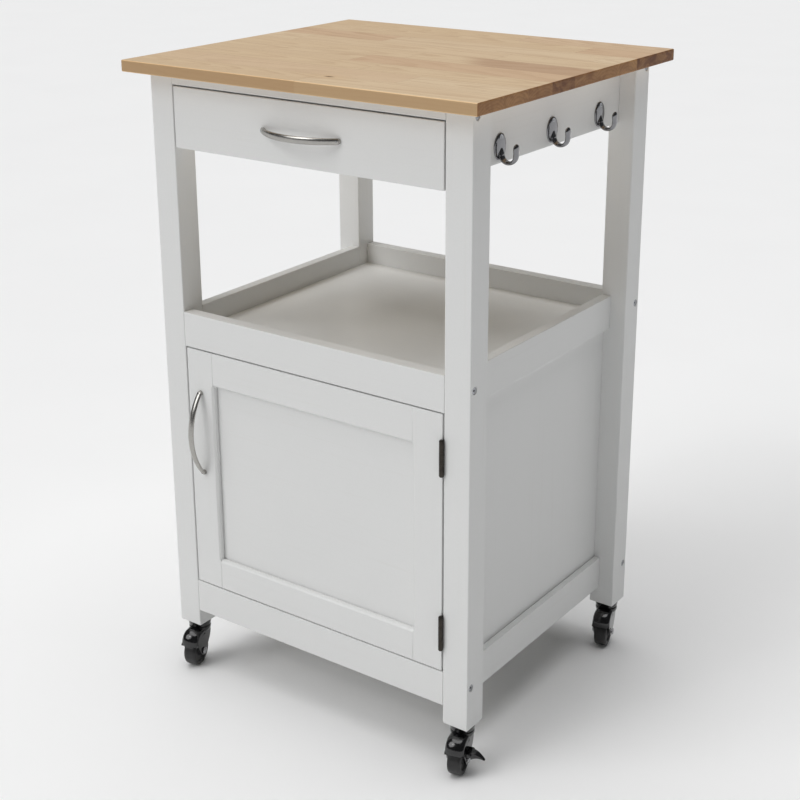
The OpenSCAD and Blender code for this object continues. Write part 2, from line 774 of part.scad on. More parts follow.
module hinge_leg_leaves() color(dark_steel) for (z = hinge_zs) difference() {
    union() {
        block([leg_x0 - leaf_t, leg_x0], [front_y, front_y + leaf_d], [z - hinge_l / 2, z + hinge_l / 2]);
        knuckle([leg_x0 - leaf_t, leg_x0], z - hinge_l / 2, z - knuckle_l / 2);
        knuckle([leg_x0 - leaf_t, leg_x0], z + knuckle_l / 2, z + hinge_l / 2);
    }
    screws_at(hinge_leg_screws, fit);
}

module hinge_door_leaves() color(dark_steel) for (z = hinge_zs) difference() {
    union() {
        block([door_x1, door_x1 + leaf_t], [front_y, front_y + leaf_d], [z - hinge_l / 2, z + hinge_l / 2]);
        knuckle([door_x1, door_x1 + leaf_t], z - knuckle_l / 2 + slide_gap, z + knuckle_l / 2 - slide_gap);
    }
    screws_at(hinge_door_screws, fit);
}

module hinge_pins() color(dark_steel) for (z = hinge_zs) translate([hinge_x, hinge_y, z - hinge_l / 2]) {
    cylinder(r = pin_r, h = hinge_l);
    for (e = [-1.2, hinge_l]) translate([0, 0, e]) cylinder(r = knuckle_r - 0.8, h = 1.2);
}

module magnetic_catch() color(inside_paint) difference() {
    block([-leg_x0, -leg_x0 + catch_w], [front_in_y + strike_t + slide_gap, front_in_y + strike_t + catch_d],
          [door_handle_z - catch_h / 2, door_handle_z + catch_h / 2]);
    screws_at(catch_screws, fit);
}

// ---- Hooks ----

// A hook on the plane x = 0, its plate's middle at the origin
module hook() {
    rotate([0, 90, 0]) {
        for (e = [-1, 1]) translate([e * (hook_plate_h - hook_plate_w) / 2, 0, 0])
            cylinder(r = hook_plate_w / 2, h = hook_plate_t);
        translate([-(hook_plate_h - hook_plate_w) / 2, -hook_plate_w / 2, 0])
            cube([hook_plate_h - hook_plate_w, hook_plate_w, hook_plate_t]);
    }
    translate([3 + hook_bend_r, 0, -hook_bend_z]) rotate([90, 0, 0]) {
        rotate([0, 0, 180]) rotate_extrude(angle = 180) translate([hook_bend_r, 0])
            square([hook_bar_t, hook_bar_w], center = true);
        translate([hook_bend_r - hook_bar_t / 2, 0, -hook_bar_w / 2]) cube([hook_bar_t, hook_tip_l, hook_bar_w]);
        translate([hook_bend_r, hook_tip_l, -hook_bar_w / 2]) cylinder(r = hook_bar_t / 2, h = hook_bar_w);
    }
    block([hook_plate_t / 2, 3 + hook_bar_t / 2], [-hook_bar_w / 2, hook_bar_w / 2], [-hook_bend_z, -hook_bend_z + 3]);
}

module hooks() color(steel) for (y = hook_ys) difference() {
    translate([side_x1, y, hook_z]) hook();
    screws_at([for (p = hook_screws) if (p[0][1] == y) p], fit);
}

// ---- Fasteners of the frame ----

module frame_screws() color(steel) {
    screws_at(top_screws);
    for (s = [-1, 1]) {
        screws_at(side_cleat_screws(s, top_cleat_z, top_cleat_w, top_side_in));
        screws_at(side_cleat_screws(s, shelf_cleat_z, cleat_w, screw_in));
        screws_at(side_cleat_screws(s, floor_cleat_z, cleat_w, screw_in));
        screws_at(runner_screws(s));
    }
    screws_at(rear_cleat_screws(top_cleat_z, top_cleat_w, top_side_in));
    for (z = [shelf_cleat_z, floor_cleat_z]) {
        screws_at(front_cleat_screws(z, screw_in));
        screws_at(rear_cleat_screws(z, cleat_w, screw_in));
    }
    screws_at(hinge_leg_screws);
    screws_at(catch_screws);
    screws_at(hook_screws);
}

bolt_ys = [(front_y + front_in_y) / 2, (rear_y + rear_in_y) / 2];

module cross_bolt() difference() {
    union() {
        rod_x(leg_x0 - nut_in - bolt_past_nut, leg_x1 - bolt_sink, 0, 0, bolt_r);
        rod_x(leg_x1 - bolt_sink, leg_x1 - bolt_sink + bolt_head_h, 0, 0, bolt_head_r);
    }
    translate([leg_x1 - bolt_sink + 1.5, 0, 0]) rotate([0, 90, 0]) cylinder(r = bolt_r * 0.6, h = bolt_head_h, $fn = 6);
}

module cross_bolts() color(steel) for (s = [-1, 1]) on_side(s) for (y = bolt_ys) for (z = bolt_zs)
    translate([0, y, z]) cross_bolt();

// Barrel nuts in the rails and threaded inserts in the leg ends
module threaded_nuts() color(steel) {
    for (s = [-1, 1]) on_side(s) for (k = [0, 1]) for (i = [0:2]) difference() {
        if (i == 1)
            translate([leg_x0 - nut_in, bolt_ys[k], bolt_zs[i] - nut_l / 2]) cylinder(r = nut_r, h = nut_l);
        else
            rod_y(leg_x0 - nut_in, k == 0 ? front_in_y - nut_l : rear_in_y,
                  k == 0 ? front_in_y : rear_in_y + nut_l, bolt_zs[i], nut_r);
        rod_x(leg_x0 - nut_in - 2 * nut_r, leg_x0, bolt_ys[k], bolt_zs[i], bolt_r + fit);
    }
    for (c = caster_xy) translate([c[0], c[1], caster_h]) difference() {
        cylinder(r = insert_r - fit, h = insert_l);
        translate([0, 0, -1]) cylinder(r = stem_r + fit, h = insert_l + 2);
    }
}

// ---- Casters, drawn on the swivel axis with the floor at z = 0 ----

module at_caster(i) {
    translate([caster_xy[i][0], caster_xy[i][1], 0]) rotate([0, 0, swivel_rest]) children();
}

// A flat shape in the plane of the wheel, made w wide
module across(w) {
    rotate([90, 0, 90]) translate([0, 0, -w / 2]) linear_extrude(w) children();
}

module caster_stems() color(steel) for (i = [0:3]) at_caster(i) {
    translate([0, 0, caster_h]) cylinder(r = stem_r, h = stem_l);
    translate([0, 0, caster_h - cup_h]) cylinder(r1 = cup_r - 1.5, r2 = cup_r, h = cup_h);
    translate([0, 0, crown_z0 - slide_gap - rivet_h]) cylinder(r = journal_r, h = cup_h + 6 + rivet_h);
    translate([0, 0, crown_z0 - slide_gap - rivet_h]) cylinder(r = rivet_r, h = rivet_h);
}

module fork_outline() {
    polygon([[cup_r, crown_z1], [-cup_r - 5, crown_z1], [-trail - well_r + 5, crown_z1 - 8],
             [-trail - well_r + 1, wheel_d - 3], [-trail - 8, wheel_r], [-trail + 8, wheel_r],
             [cup_r - 8, wheel_d - 4], [cup_r, crown_z1 - 6]]);
    translate([-trail, wheel_r]) circle(r = 8);
}

module fork(braked) difference() {
    union() {
        across(fork_w) fork_outline();
        translate([0, 0, crown_z0]) cylinder(r = cup_r - 1.5, h = crown_z1 - crown_z0);
        if (braked) for (e = [-1, 1]) translate([0, -trail + e * (lever_w / 2 + slide_gap + lug_t / 2), 0])
            block([fork_w / 2 - 1, lever_x + 2.5], [-lug_t / 2, lug_t / 2], [lever_z - 5, lever_z + 3]);
    }
    across(slot_w) {
        translate([-trail, wheel_r]) circle(r = well_r);
        translate([-trail - well_r, -1]) square([2 * well_r, wheel_r + 1]);
    }
    translate([0, 0, crown_z0 - wheel_r]) cylinder(r = rivet_r + 1, h = wheel_r);
    translate([0, 0, crown_z0 - 1]) cylinder(r = journal_r + run, h = 8);
    rod_x(-fork_w, fork_w, -trail, wheel_r, axle_r + run);
    if (braked) {
        rod_y(lever_x, -trail - lever_w, -trail + lever_w, lever_z, lever_pin_r + run);
        block([slot_w / 2 - 1, fork_w / 2 + 1], [-trail - lever_w / 2, -trail + lever_w / 2], [wheel_r + 5, lever_z + 3.5]);
    }
}

// A wheel and the axle that is pressed into it
module wheel() {
    translate([-wheel_w / 2, -trail, wheel_r]) rotate([0, 90, 0]) rotate_extrude($fn = 96)
        polygon([[axle_r + 0.02, 0], [11, 0], [12, 2], [17, 2], [18, 0], [wheel_r - 2.5, 0], [wheel_r, 2.5],
                 [wheel_r, wheel_w - 2.5], [wheel_r - 2.5, wheel_w], [18, wheel_w], [17, wheel_w - 2],
                 [12, wheel_w - 2], [11, wheel_w], [axle_r + 0.02, wheel_w]]);
    rod_x(-fork_w / 2 - slide_gap - axle_head_h, fork_w / 2 + slide_gap + axle_head_h, -trail, wheel_r, axle_r);
    for (s = [-1, 1]) on_side(s)
        rod_x(fork_w / 2 + slide_gap, fork_w / 2 + slide_gap + axle_head_h, -trail, wheel_r, axle_head_r);
}

// The pedal at the side of a fork: pressed down, its pad bears on the wheel's face
module brake_lever() translate([0, -trail, 0]) {
    rod_y(lever_x, -lever_w / 2, lever_w / 2, lever_z, lever_knuckle_r);
    rod_y(lever_x, -lever_w / 2 - slide_gap - lug_t, lever_w / 2 + slide_gap + lug_t, lever_z, lever_pin_r);
    translate([lever_x, 0, lever_z]) rotate([0, lever_slope, 0])
        block([1, lever_l], [-lever_w / 2 + 0.5, lever_w / 2 - 0.5], [-1.2, 2]);
    block([pad_x, lever_x - 0.5], [-lever_w / 2 + 1, lever_w / 2 - 1], [lever_z - pad_h, lever_z + 0.8]);
}

module fork_front_left() color(black) at_caster(0) fork(false);

module fork_front_right() color(black) at_caster(1) fork(true);

module fork_rear_left() color(black) at_caster(2) fork(true);

module fork_rear_right() color(black) at_caster(3) fork(false);

module wheel_front_left() color(black) at_caster(0) wheel();

module wheel_front_right() color(black) at_caster(1) wheel();

module wheel_rear_left() color(black) at_caster(2) wheel();

module wheel_rear_right() color(black) at_caster(3) wheel();

module brake_lever_front_right() color(black) at_caster(1) brake_lever();

module brake_lever_rear_left() color(black) at_caster(2) brake_lever();

worktop();
leg_front_left();
leg_front_right();
leg_rear_left();
leg_rear_right();
front_stretcher();
side_apron_left();
side_apron_right();
rear_apron();
front_mid_rail();
side_mid_rail_left();
side_mid_rail_right();
rear_mid_rail();
front_bottom_rail();
side_bottom_rail_left();
side_bottom_rail_right();
rear_bottom_rail();
open_shelf();
cabinet_floor();
inner_shelf();
shelf_pins();
cleats();
side_panel_left();
side_panel_right();
rear_panel();
drawer_front();
drawer_side_left();
drawer_side_right();
drawer_back();
drawer_bottom();
drawer_handle();
drawer_screws();
drawer_runners();
door_stile_left();
door_stile_right();
door_top_rail();
door_bottom_rail();
door_panel();
door_handle();
door_screws();
hinge_leg_leaves();
hinge_door_leaves();
hinge_pins();
magnetic_catch();
strike_plate();
hooks();
frame_screws();
cross_bolts();
threaded_nuts();
caster_stems();
fork_front_left();
fork_front_right();
fork_rear_left();
fork_rear_right();
wheel_front_left();
wheel_front_right();
wheel_rear_left();
wheel_rear_right();
brake_lever_front_right();
brake_lever_rear_left();
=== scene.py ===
# %% [markdown]
# # A rolling kitchen cart
# The cart is a small oiled wood worktop on four square painted legs. Between the legs are a drawer, an
# open shelf with a rim, and a cupboard with a framed door. Three chromed hooks hang on the right side and
# the whole thing rolls on four small casters. A CAD model has already fixed every size and every joint,
# so this lesson doesn't decide how large anything is: it takes that model as a fixed frame and gives it
# the edges, curves, finishes and light of the real thing.

# %% Load the CAD model
import json
from math import acos, atan2, cos, pi, radians, sin

import bmesh
import bpy
from mathutils import Matrix, Vector
from mathutils.geometry import convex_hull_2d

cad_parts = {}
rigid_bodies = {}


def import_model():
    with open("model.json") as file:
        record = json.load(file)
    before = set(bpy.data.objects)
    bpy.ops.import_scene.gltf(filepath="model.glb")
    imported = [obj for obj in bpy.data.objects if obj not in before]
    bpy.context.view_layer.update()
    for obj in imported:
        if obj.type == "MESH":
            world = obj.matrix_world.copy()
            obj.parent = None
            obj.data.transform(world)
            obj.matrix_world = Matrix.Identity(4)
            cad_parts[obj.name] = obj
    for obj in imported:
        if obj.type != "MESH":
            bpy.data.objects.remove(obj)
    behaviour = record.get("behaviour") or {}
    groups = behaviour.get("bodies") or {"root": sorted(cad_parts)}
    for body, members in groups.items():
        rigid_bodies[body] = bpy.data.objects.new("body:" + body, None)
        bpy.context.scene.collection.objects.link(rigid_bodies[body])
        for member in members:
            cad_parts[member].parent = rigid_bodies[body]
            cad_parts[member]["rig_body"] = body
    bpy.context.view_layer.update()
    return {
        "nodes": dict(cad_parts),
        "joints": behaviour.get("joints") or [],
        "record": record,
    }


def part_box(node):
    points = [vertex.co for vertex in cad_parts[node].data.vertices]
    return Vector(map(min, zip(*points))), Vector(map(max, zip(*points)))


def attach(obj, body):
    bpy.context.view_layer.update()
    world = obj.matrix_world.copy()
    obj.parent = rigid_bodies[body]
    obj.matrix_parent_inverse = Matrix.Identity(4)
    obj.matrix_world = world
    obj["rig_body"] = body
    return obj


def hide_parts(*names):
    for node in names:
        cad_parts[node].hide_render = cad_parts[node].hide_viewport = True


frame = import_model()
nodes = frame["nodes"]
slot_of = {part["node"]: part["material_slot"] for part in frame["record"]["subparts"]}

# %% [markdown]
# ## Camera
# Furniture shows itself well from a little above, through a longish lens that keeps the upright edges
# nearly upright. Shifting the lens, instead of tilting the camera further, keeps the cart in the middle
# of the frame without making its legs lean. The three turns below are the compass direction, the tilt
# and a hair of roll.

# %% Place the camera
CAMERA_PLACE = (1.18218, -1.65110, 1.21990)
camera_lens = bpy.data.cameras.new("camera")
camera_lens.lens = 67.33
camera_lens.sensor_width = 36.0
camera_lens.shift_y = -0.1
camera = bpy.data.objects.new("camera", camera_lens)
bpy.context.scene.collection.objects.link(camera)
camera_heading, camera_dip, camera_roll = radians(35.740), radians(18.649), radians(-0.270)
camera.matrix_world = (
    Matrix.Translation(CAMERA_PLACE)
    @ Matrix.Rotation(camera_heading, 4, "Z")
    @ Matrix.Rotation(pi / 2 - camera_dip, 4, "X")
    @ Matrix.Rotation(camera_roll, 4, "Z")
)
bpy.context.scene.camera = camera
bpy.context.scene.view_settings.view_transform = "Standard"
print("camera at", [round(value, 3) for value in camera.location])

# %% [markdown]
# ## Light
# White furniture needs light that differs from side to side, or it looks like paper. One very wide soft
# light comes from the front and the left, so the front is the brightest upright side, and another falls
# straight down on the worktop. The rest of the room is a dim even grey, which leaves the right side in a
# gentle shade and gives the chrome something dark to reflect. A third lamp is small and weak: it hardly
# lights the paint, but its sharp reflection puts the sparks on the chrome and the black plastic. All are
# sun lamps, and the first two have a wide disc: they are as soft as a large lamp close by, and they light
# the floor evenly out to the horizon.

# %% Hang the lights
def hang_light(name, comes_from, strength, width):
    """A lamp as wide as width degrees of sky that shines from comes_from towards the cart."""
    lamp = bpy.data.lights.new(name, "SUN")
    lamp.energy = strength
    lamp.angle = radians(width)
    holder = bpy.data.objects.new(name, lamp)
    bpy.context.scene.collection.objects.link(holder)
    holder.matrix_world = Vector(comes_from).to_track_quat("Z", "Y").to_matrix().to_4x4()
    print(name, strength, "W/m2,", width, "degrees wide")


hang_light("front_soft_light", (-0.44, -0.80, 0.72), 1.06, 40)
hang_light("top_soft_light", (-0.08, 0.05, 1.0), 1.92, 62)
hang_light("spark_light", (-0.30, -0.75, 0.80), 0.10, 6)

# %% Fill the room with grey light, white where the camera sees it
ROOM_STRENGTH = 0.09
room = bpy.data.worlds.new("room")
room.use_nodes = True
bpy.context.scene.world = room
room_nodes, room_links = room.node_tree.nodes, room.node_tree.links
seen, lit = room_nodes["Background"], room_nodes.new("ShaderNodeBackground")
seen.inputs["Color"].default_value = (1.0, 1.0, 1.0, 1.0)
lit.inputs["Color"].default_value = (0.96, 0.98, 1.0, 1.0)
lit.inputs["Strength"].default_value = ROOM_STRENGTH
chooser, ray = room_nodes.new("ShaderNodeMixShader"), room_nodes.new("ShaderNodeLightPath")
room_links.new(ray.outputs["Is Camera Ray"], chooser.inputs["Fac"])
room_links.new(lit.outputs["Background"], chooser.inputs[1])
room_links.new(seen.outputs["Background"], chooser.inputs[2])
room_links.new(chooser.outputs["Shader"], room_nodes["World Output"].inputs["Surface"])
print("room light", ROOM_STRENGTH)

# %% [markdown]
# ## Sums in a material
# A procedural finish is a long sum on the place of each point of the surface. Drawing that sum node by
# node is hard to read, so this small class wraps a socket and lets the sum be written as Python: adding two
# signals adds a Math node. Every other kind of node comes from the one method `node`, which sets the
# node's choices first and then fills its sockets with values or links.

# %% Wrap a socket
class Signal:
    """One output socket of a material's node tree."""

    def __init__(self, tree, socket=None):
        self.tree, self.socket = tree, socket

    def node(self, kind, choices=(), values=(), output=0):
        """Adds a node. choices are its settings, values fill its sockets, output names the one returned."""
        added = self.tree.nodes.new(kind)
        for name, choice in dict(choices).items():
            setattr(added, name, choice)
        for name, value in dict(values).items():
            if isinstance(value, Signal):
                self.tree.links.new(value.socket, added.inputs[name])
            else:
                added.inputs[name].default_value = value
        return Signal(self.tree, added.outputs[output])

    def maths(self, operation, *others):
        """One Math node on this signal and the others after it."""
        return self.node("ShaderNodeMath", {"operation": operation}, dict(enumerate((self, *others))))

    def __add__(self, other):
        return self.maths("ADD", other)

    def __sub__(self, other):
        return self.maths("SUBTRACT", other)

    def __rsub__(self, other):
        return self.maths("MULTIPLY_ADD", -1.0, other)

    def __mul__(self, other):
        return self.maths("MULTIPLY", other)

    def __truediv__(self, other):
        return self.maths("DIVIDE", other)

    def __pow__(self, other):
        return self.maths("POWER", other)

    def __abs__(self):
        return self.maths("ABSOLUTE")

    __radd__ = __add__
    __rmul__ = __mul__

    def rise(self, low, high):
        """0 up to low, 1 from high, and a smooth rise between them."""
        values = {"Value": self, "From Min": low, "From Max": high}
        return self.node("ShaderNodeMapRange", {"interpolation_type": "SMOOTHSTEP"}, values, "Result")

    def along(self, axis):
        """One of X, Y and Z of a place."""
        return self.node("ShaderNodeSeparateXYZ", (), {0: self}, axis)

    def place(self, x, y, z):
        """A place made of three signals or numbers."""
        return self.node("ShaderNodeCombineXYZ", (), {0: x, 1: y, 2: z})

    def stretched(self, x, y, z):
        """This place, with each axis multiplied."""
        return self.node("ShaderNodeVectorMath", {"operation": "MULTIPLY"}, {0: self, 1: (x, y, z)})

    def noise(self, scale, detail=2.0, distortion=0.0):
        """Cloudy noise, 0 to 1, with scale clouds to the metre."""
        values = {"Vector": self, "Scale": scale, "Detail": detail, "Distortion": distortion}
        return self.node("ShaderNodeTexNoise", (), values, "Fac")

    def luck(self, output="Value"):
        """A number from 0 to 1, or a colour, that is the same all over each whole place."""
        return self.node("ShaderNodeTexWhiteNoise", {"noise_dimensions": "3D"}, {"Vector": self}, output)

    def blend(self, first, second, how="MIX"):
        """The first colour where this is 0 and the second where it is 1."""
        choices = {"data_type": "RGBA", "blend_type": how}
        return self.node("ShaderNodeMix", choices, {0: self, 6: first, 7: second}, 2)

    def relief(self, depth, strength=1.0):
        """A normal that tilts as if this height, times depth in metres, stood on the surface."""
        values = {"Strength": strength, "Distance": depth, "Height": self}
        return self.node("ShaderNodeBump", (), values, "Normal")


# %% Start a finish
def start_finish(name, **constants):
    """A new material: returns it, its shader and the place of each point of the piece, in metres."""
    finish = bpy.data.materials.new(name)
    finish.use_nodes = True
    shader = finish.node_tree.nodes["Principled BSDF"]
    for socket, value in constants.items():
        shader.inputs[socket.replace("_", " ")].default_value = value
    point = Signal(finish.node_tree).node("ShaderNodeTexCoord", (), (), "Object")
    return finish, shader, point


def feed(shader, **signals):
    """Links signals to the sockets of the shader that may change over a surface."""
    for socket, signal in signals.items():
        signal.tree.links.new(signal.socket, shader.inputs[socket.replace("_", " ")])


def shade(red, green, blue):
    """A colour as it is picked on a screen, 0 to 255, made the linear colour that a shader takes."""
    def linear(value):
        value /= 255
        return value / 12.92 if value <= 0.04045 else ((value + 0.055) / 1.055) ** 2.4
    return (linear(red), linear(green), linear(blue), 1.0)


print("mid grey is", [round(value, 3) for value in shade(128, 128, 128)])

# %% [markdown]
# ## White satin paint
# The frame, drawer front and door are softwood and board under a sprayed satin paint. Up close such paint
# isn't smooth: it has a fine ripple from the spray, and the grain of the wood still lifts it a little in
# long lines. So the bump is a fine noise plus a noise that is stretched along the board, and there is one
# such finish for each direction a board can run. The colour hardly moves, a little warmer where the film
# is thin over the grain, and the sheen is patchy.

# %% Mix the paint
def painted(name, stretch):
    """Satin paint over wood whose grain noise is stretched so much along each axis."""
    finish, shader, point = start_finish(name, IOR=1.46, Coat_Roughness=0.22)
    grain = point.stretched(*stretch).noise(1.0, 5.0, 0.4)
    ripple = point.noise(420.0, 2.0)
    cloud = point.noise(9.0, 3.0)
    thin = grain.rise(0.54, 0.78)
    base = (cloud * 0.5 + ripple * 0.5).blend(shade(226, 227, 226), shade(233, 233, 232))
    feed(
        shader,
        Base_Color=(thin * 0.22).blend(base, shade(222, 221, 217)),
        Roughness=0.36 + cloud * 0.12 + grain * 0.08,
        Coat_Weight=0.12 + cloud * 0.10,
        Normal=(ripple * 0.35 + grain * 0.65).relief(0.00011, 0.5),
    )
    return finish


ALONG, ACROSS = 5.0, 260.0
GRAINS = {"x": (ALONG, ACROSS, ACROSS), "y": (ACROSS, ALONG, ACROSS), "z": (ACROSS, ACROSS, ALONG)}
paint_along = [painted("white_paint_" + way, stretch) for way, stretch in GRAINS.items()]
print("paints", [finish.name for finish in paint_along])

# %% [markdown]
# ## Butcher block
# The worktop is glued up from staves that run from side to side, and each stave is made of shorter blocks
# joined end to end. Wood is solid, so its pattern is worked out in space and the board cuts through it:
# every block gets its own tree, with rings round a pith a little below the board. A cut along the rings
# gives long arches on the top and a cut across them gives round end grain on the two ends, from the same
# sum. Colour luck per block, short dark pores along the grain and one small knot finish it, and the ends
# drink more oil, so they are darker.

# %% Saw the butcher block
STAVES = 9
top_low, top_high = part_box("worktop")
stave_width = (top_high.y - top_low.y) / STAVES
BLOCK_LENGTH = 0.34
butcher, butcher_shader, point = start_finish("butcher_block", IOR=1.47, Coat_Roughness=0.3)
wood_x, wood_y, wood_z = point.along("X"), point.along("Y"), point.along("Z")
stave_place = (wood_y - top_low.y) / stave_width
stave = stave_place.maths("FLOOR")
stave_luck = point.place(stave, 7.3, 1.9).luck()
block_place = wood_x / BLOCK_LENGTH + stave_luck * 5.0 + 20.37
block = block_place.maths("FLOOR")
tree = point.place(stave, block, 3.1).luck("Color")
tree_tone, tree_hue, tree_side = tree.along("X"), tree.along("Y"), tree.along("Z")

# %% Grow the rings
RING = 0.0042
sway = point.place(wood_x * 2.2 + tree_tone * 40, wood_y * 16, wood_z * 16 + block * 3.7).noise(1.0, 4.0, 0.8)
ripples = point.place(wood_x * 14 + tree_hue * 30, wood_y * 190, wood_z * 190).noise(1.0, 4.0, 0.3)
from_heart = wood_y - top_low.y - (stave + 0.15 + tree_side * 0.7) * stave_width
below = wood_z - top_low.z + 0.012 + tree_hue * 0.05 + wood_x * (tree_tone - 0.5) * 0.16
radius = (from_heart * from_heart + below * below) ** 0.5
ring_sum = radius / RING + sway * 5.0 + ripples * 0.35
ring = ring_sum.maths("FRACT")
late_wood = ring.rise(0.35, 0.93) * (1 - ring.rise(0.93, 1.0))
fibre = point.place(wood_x * 30, wood_y * 900, wood_z * 900).noise(1.0, 3.0, 0.2)
pores = point.place(wood_x * 85, wood_y * 1250, wood_z * 1250).noise(1.0, 1.0).rise(0.69, 0.78)
print("staves", STAVES, "of", round(stave_width, 4), "m, rings every", RING, "m")

# %% Place the knot and the joints between the blocks
KNOT_X, KNOT_Y, KNOT_LONG, KNOT_WIDE = 0.0325, -0.201, 0.0085, 0.0042
knot_x = (wood_x - KNOT_X) / KNOT_LONG
knot_y = (wood_y - KNOT_Y) / KNOT_WIDE
from_knot = (knot_x * knot_x + knot_y * knot_y) ** 0.5 + sway * 0.6
knot = 1 - from_knot.rise(0.3, 1.5)
swirl = 1 - from_knot.rise(1.0, 6.0)
stave_part = stave_place.maths("FRACT")
block_part = block_place.maths("FRACT")
JOINT_SHARE = 0.008
joint = 1 - (0.5 - abs(stave_part - 0.5)).rise(0.0, JOINT_SHARE)
butt = 1 - (0.5 - abs(block_part - 0.5)).rise(0.0, JOINT_SHARE * stave_width / BLOCK_LENGTH)
seam = joint.maths("MAXIMUM", butt)

# %% Colour the block
straw, sand, rose = shade(238, 214, 180), shade(229, 201, 164), shade(220, 186, 152)
END_DEPTH, HEART_FROM, HEART_WHOLE = 0.0007, 0.115, 0.165
end_grain = abs(wood_x).rise(top_high.x - 2 * END_DEPTH, top_high.x - END_DEPTH)
body = tree_tone.blend(straw, sand)
body = (tree_hue.rise(0.45, 0.95) * 0.75).blend(body, rose)
heart_stave = stave.maths("COMPARE", (STAVES - 1) / 2, 0.5)
heart_edge = (wood_x + from_heart * 0.8 + sway * 0.06).rise(HEART_FROM, HEART_WHOLE)
heart_block = heart_stave * heart_edge
body = (heart_block * 0.75).blend(body, shade(196, 160, 130))
body = (late_wood * (0.16 + tree_side * 0.20)).blend(body, shade(180, 138, 100))
body = (fibre.rise(0.45, 0.75) * 0.22).blend(body, shade(196, 162, 126))
body = (pores * 0.45).blend(body, shade(140, 100, 66))
body = (swirl * 0.35).blend(body, shade(226, 190, 146))
body = (knot * 0.9).blend(body, shade(112, 74, 44))
mottle = point.stretched(1.0, 1.0, 1.6).noise(46.0, 4.0, 1.2)
ends = (tree_tone * 0.5 + mottle.rise(0.35, 0.7) * 0.5).blend(shade(182, 136, 86), shade(132, 86, 48))
ends = (late_wood * 0.30).blend(ends, shade(116, 72, 38))
dark_end = tree_hue.rise(0.62, 0.80) * (0.30 + mottle.rise(0.3, 0.65) * 0.55)
ends = dark_end.blend(ends, shade(104, 60, 30))
long_edge = abs(wood_y).rise(top_high.y - 2 * END_DEPTH, top_high.y - END_DEPTH)
edge_wood = tree_tone.rise(0.2, 0.8).blend(shade(252, 216, 160), shade(232, 192, 136))
body = (long_edge * 0.75).blend(body, edge_wood)
body = end_grain.blend(body, ends)
feed(
    butcher_shader,
    Base_Color=(seam * 0.55).blend(body, shade(128, 92, 60)),
    Roughness=0.40 + ripples * 0.14 + end_grain * 0.12 + pores * 0.15,
    Coat_Weight=0.16 - end_grain * 0.12,
    Normal=(late_wood * 0.3 + fibre * 0.5 - pores * 0.8 - seam * 1.2).relief(0.00010, 0.6),
)
print("butcher block has", len(butcher.node_tree.nodes), "nodes")

# %% [markdown]
# ## Bare softwood
# The drawer box, its runners and the cleats are plain planed pine, which nobody paints because nobody sees
# it. The same idea serves: rings in space, one direction per finish, but stronger and yellower late wood
# and no oil.

# %% Plane the softwood
def softwood(name, stretch):
    """Planed pine with rings round the axis that its grain follows."""
    finish, shader, point = start_finish(name, IOR=1.45)
    bend = point.stretched(*[2.5 if value < ACROSS else 14.0 for value in stretch]).noise(1.0, 3.0, 0.5)
    lines = point.stretched(*[value * 0.08 if value < ACROSS else 0.0 for value in stretch])
    y_and_z = point.stretched(*[value / ACROSS if value == ACROSS else 0.0 for value in stretch])
    distance = y_and_z.node("ShaderNodeVectorMath", {"operation": "LENGTH"}, {0: y_and_z}, "Value")
    ring_place = distance * 190 + bend * 5 + lines.noise(1.0) * 2
    ring_share = ring_place.maths("FRACT")
    late = ring_share.rise(0.2, 0.95) * (1 - ring_share.rise(0.95, 1.0))
    hair = point.stretched(*[value * 3 for value in stretch]).noise(1.0, 3.0)
    base = (late * 0.5).blend(shade(236, 224, 202), shade(214, 192, 160))
    feed(
        shader,
        Base_Color=(hair.rise(0.4, 0.8) * 0.25).blend(base, shade(220, 200, 170)),
        Roughness=0.58 + hair * 0.16,
        Normal=(late * 0.5 + hair * 0.5).relief(0.00018, 0.5),
    )
    return finish


pine_along = [softwood("pine_" + way, stretch) for way, stretch in GRAINS.items()]
print("softwoods", [finish.name for finish in pine_along])

# %% [markdown]
# ## Metals
# All metal here is plated, and a plated finish is told by its roughness. Nickel on the two bow handles is
# brushed to a satin, chrome on the hooks is a mirror with a faint orange peel, zinc on the screws is a
# dull patchy grey, and the hinges have a dark bronzed coat in patches of lighter and darker bronze.

# %% Plate the metals
def plated(name, colours, roughness, brush, brush_depth, patch):
    """colours are the plain and the patchy one, brush how the scratches are stretched, patch its spread."""
    finish, shader, point = start_finish(name, Metallic=1.0)
    scratches = point.stretched(*brush).noise(1.0, 3.0)
    cloud = point.noise(160.0, 3.0, 0.3)
    feed(
        shader,
        Base_Color=(cloud * patch).blend(*colours),
        Roughness=roughness + scratches * 0.10 + cloud * patch * 0.12,
        Normal=scratches.relief(brush_depth, 0.4),
    )
    return finish


FINE, LONG = 5200.0, 60.0
NICKEL = shade(178, 176, 172), shade(150, 148, 144)
CHROME = shade(138, 138, 140), shade(112, 112, 116)
ZINC = shade(196, 198, 202), shade(150, 152, 156)
BRONZE = shade(84, 79, 74), shade(38, 36, 34)
STEEL = shade(188, 188, 190), shade(150, 150, 153)
nickel_x = plated("satin_nickel_x", NICKEL, 0.17, (LONG, FINE, FINE), 0.00003, 0.6)
nickel_z = plated("satin_nickel_z", NICKEL, 0.17, (FINE, FINE, LONG), 0.00003, 0.6)
chrome = plated("chrome_plate", CHROME, 0.06, (300, 300, 300), 0.00002, 0.4)
zinc = plated("zinc_steel", ZINC, 0.30, (900, 900, 900), 0.00003, 1.0)
bronze = plated("dark_steel", BRONZE, 0.24, (700, 700, 90), 0.00004, 1.0)
bright_steel = plated("axle_steel", STEEL, 0.16, (900, 900, 900), 0.00002, 0.6)
print("metals", [finish.name for finish in (nickel_x, nickel_z, chrome, zinc, bronze, bright_steel)])

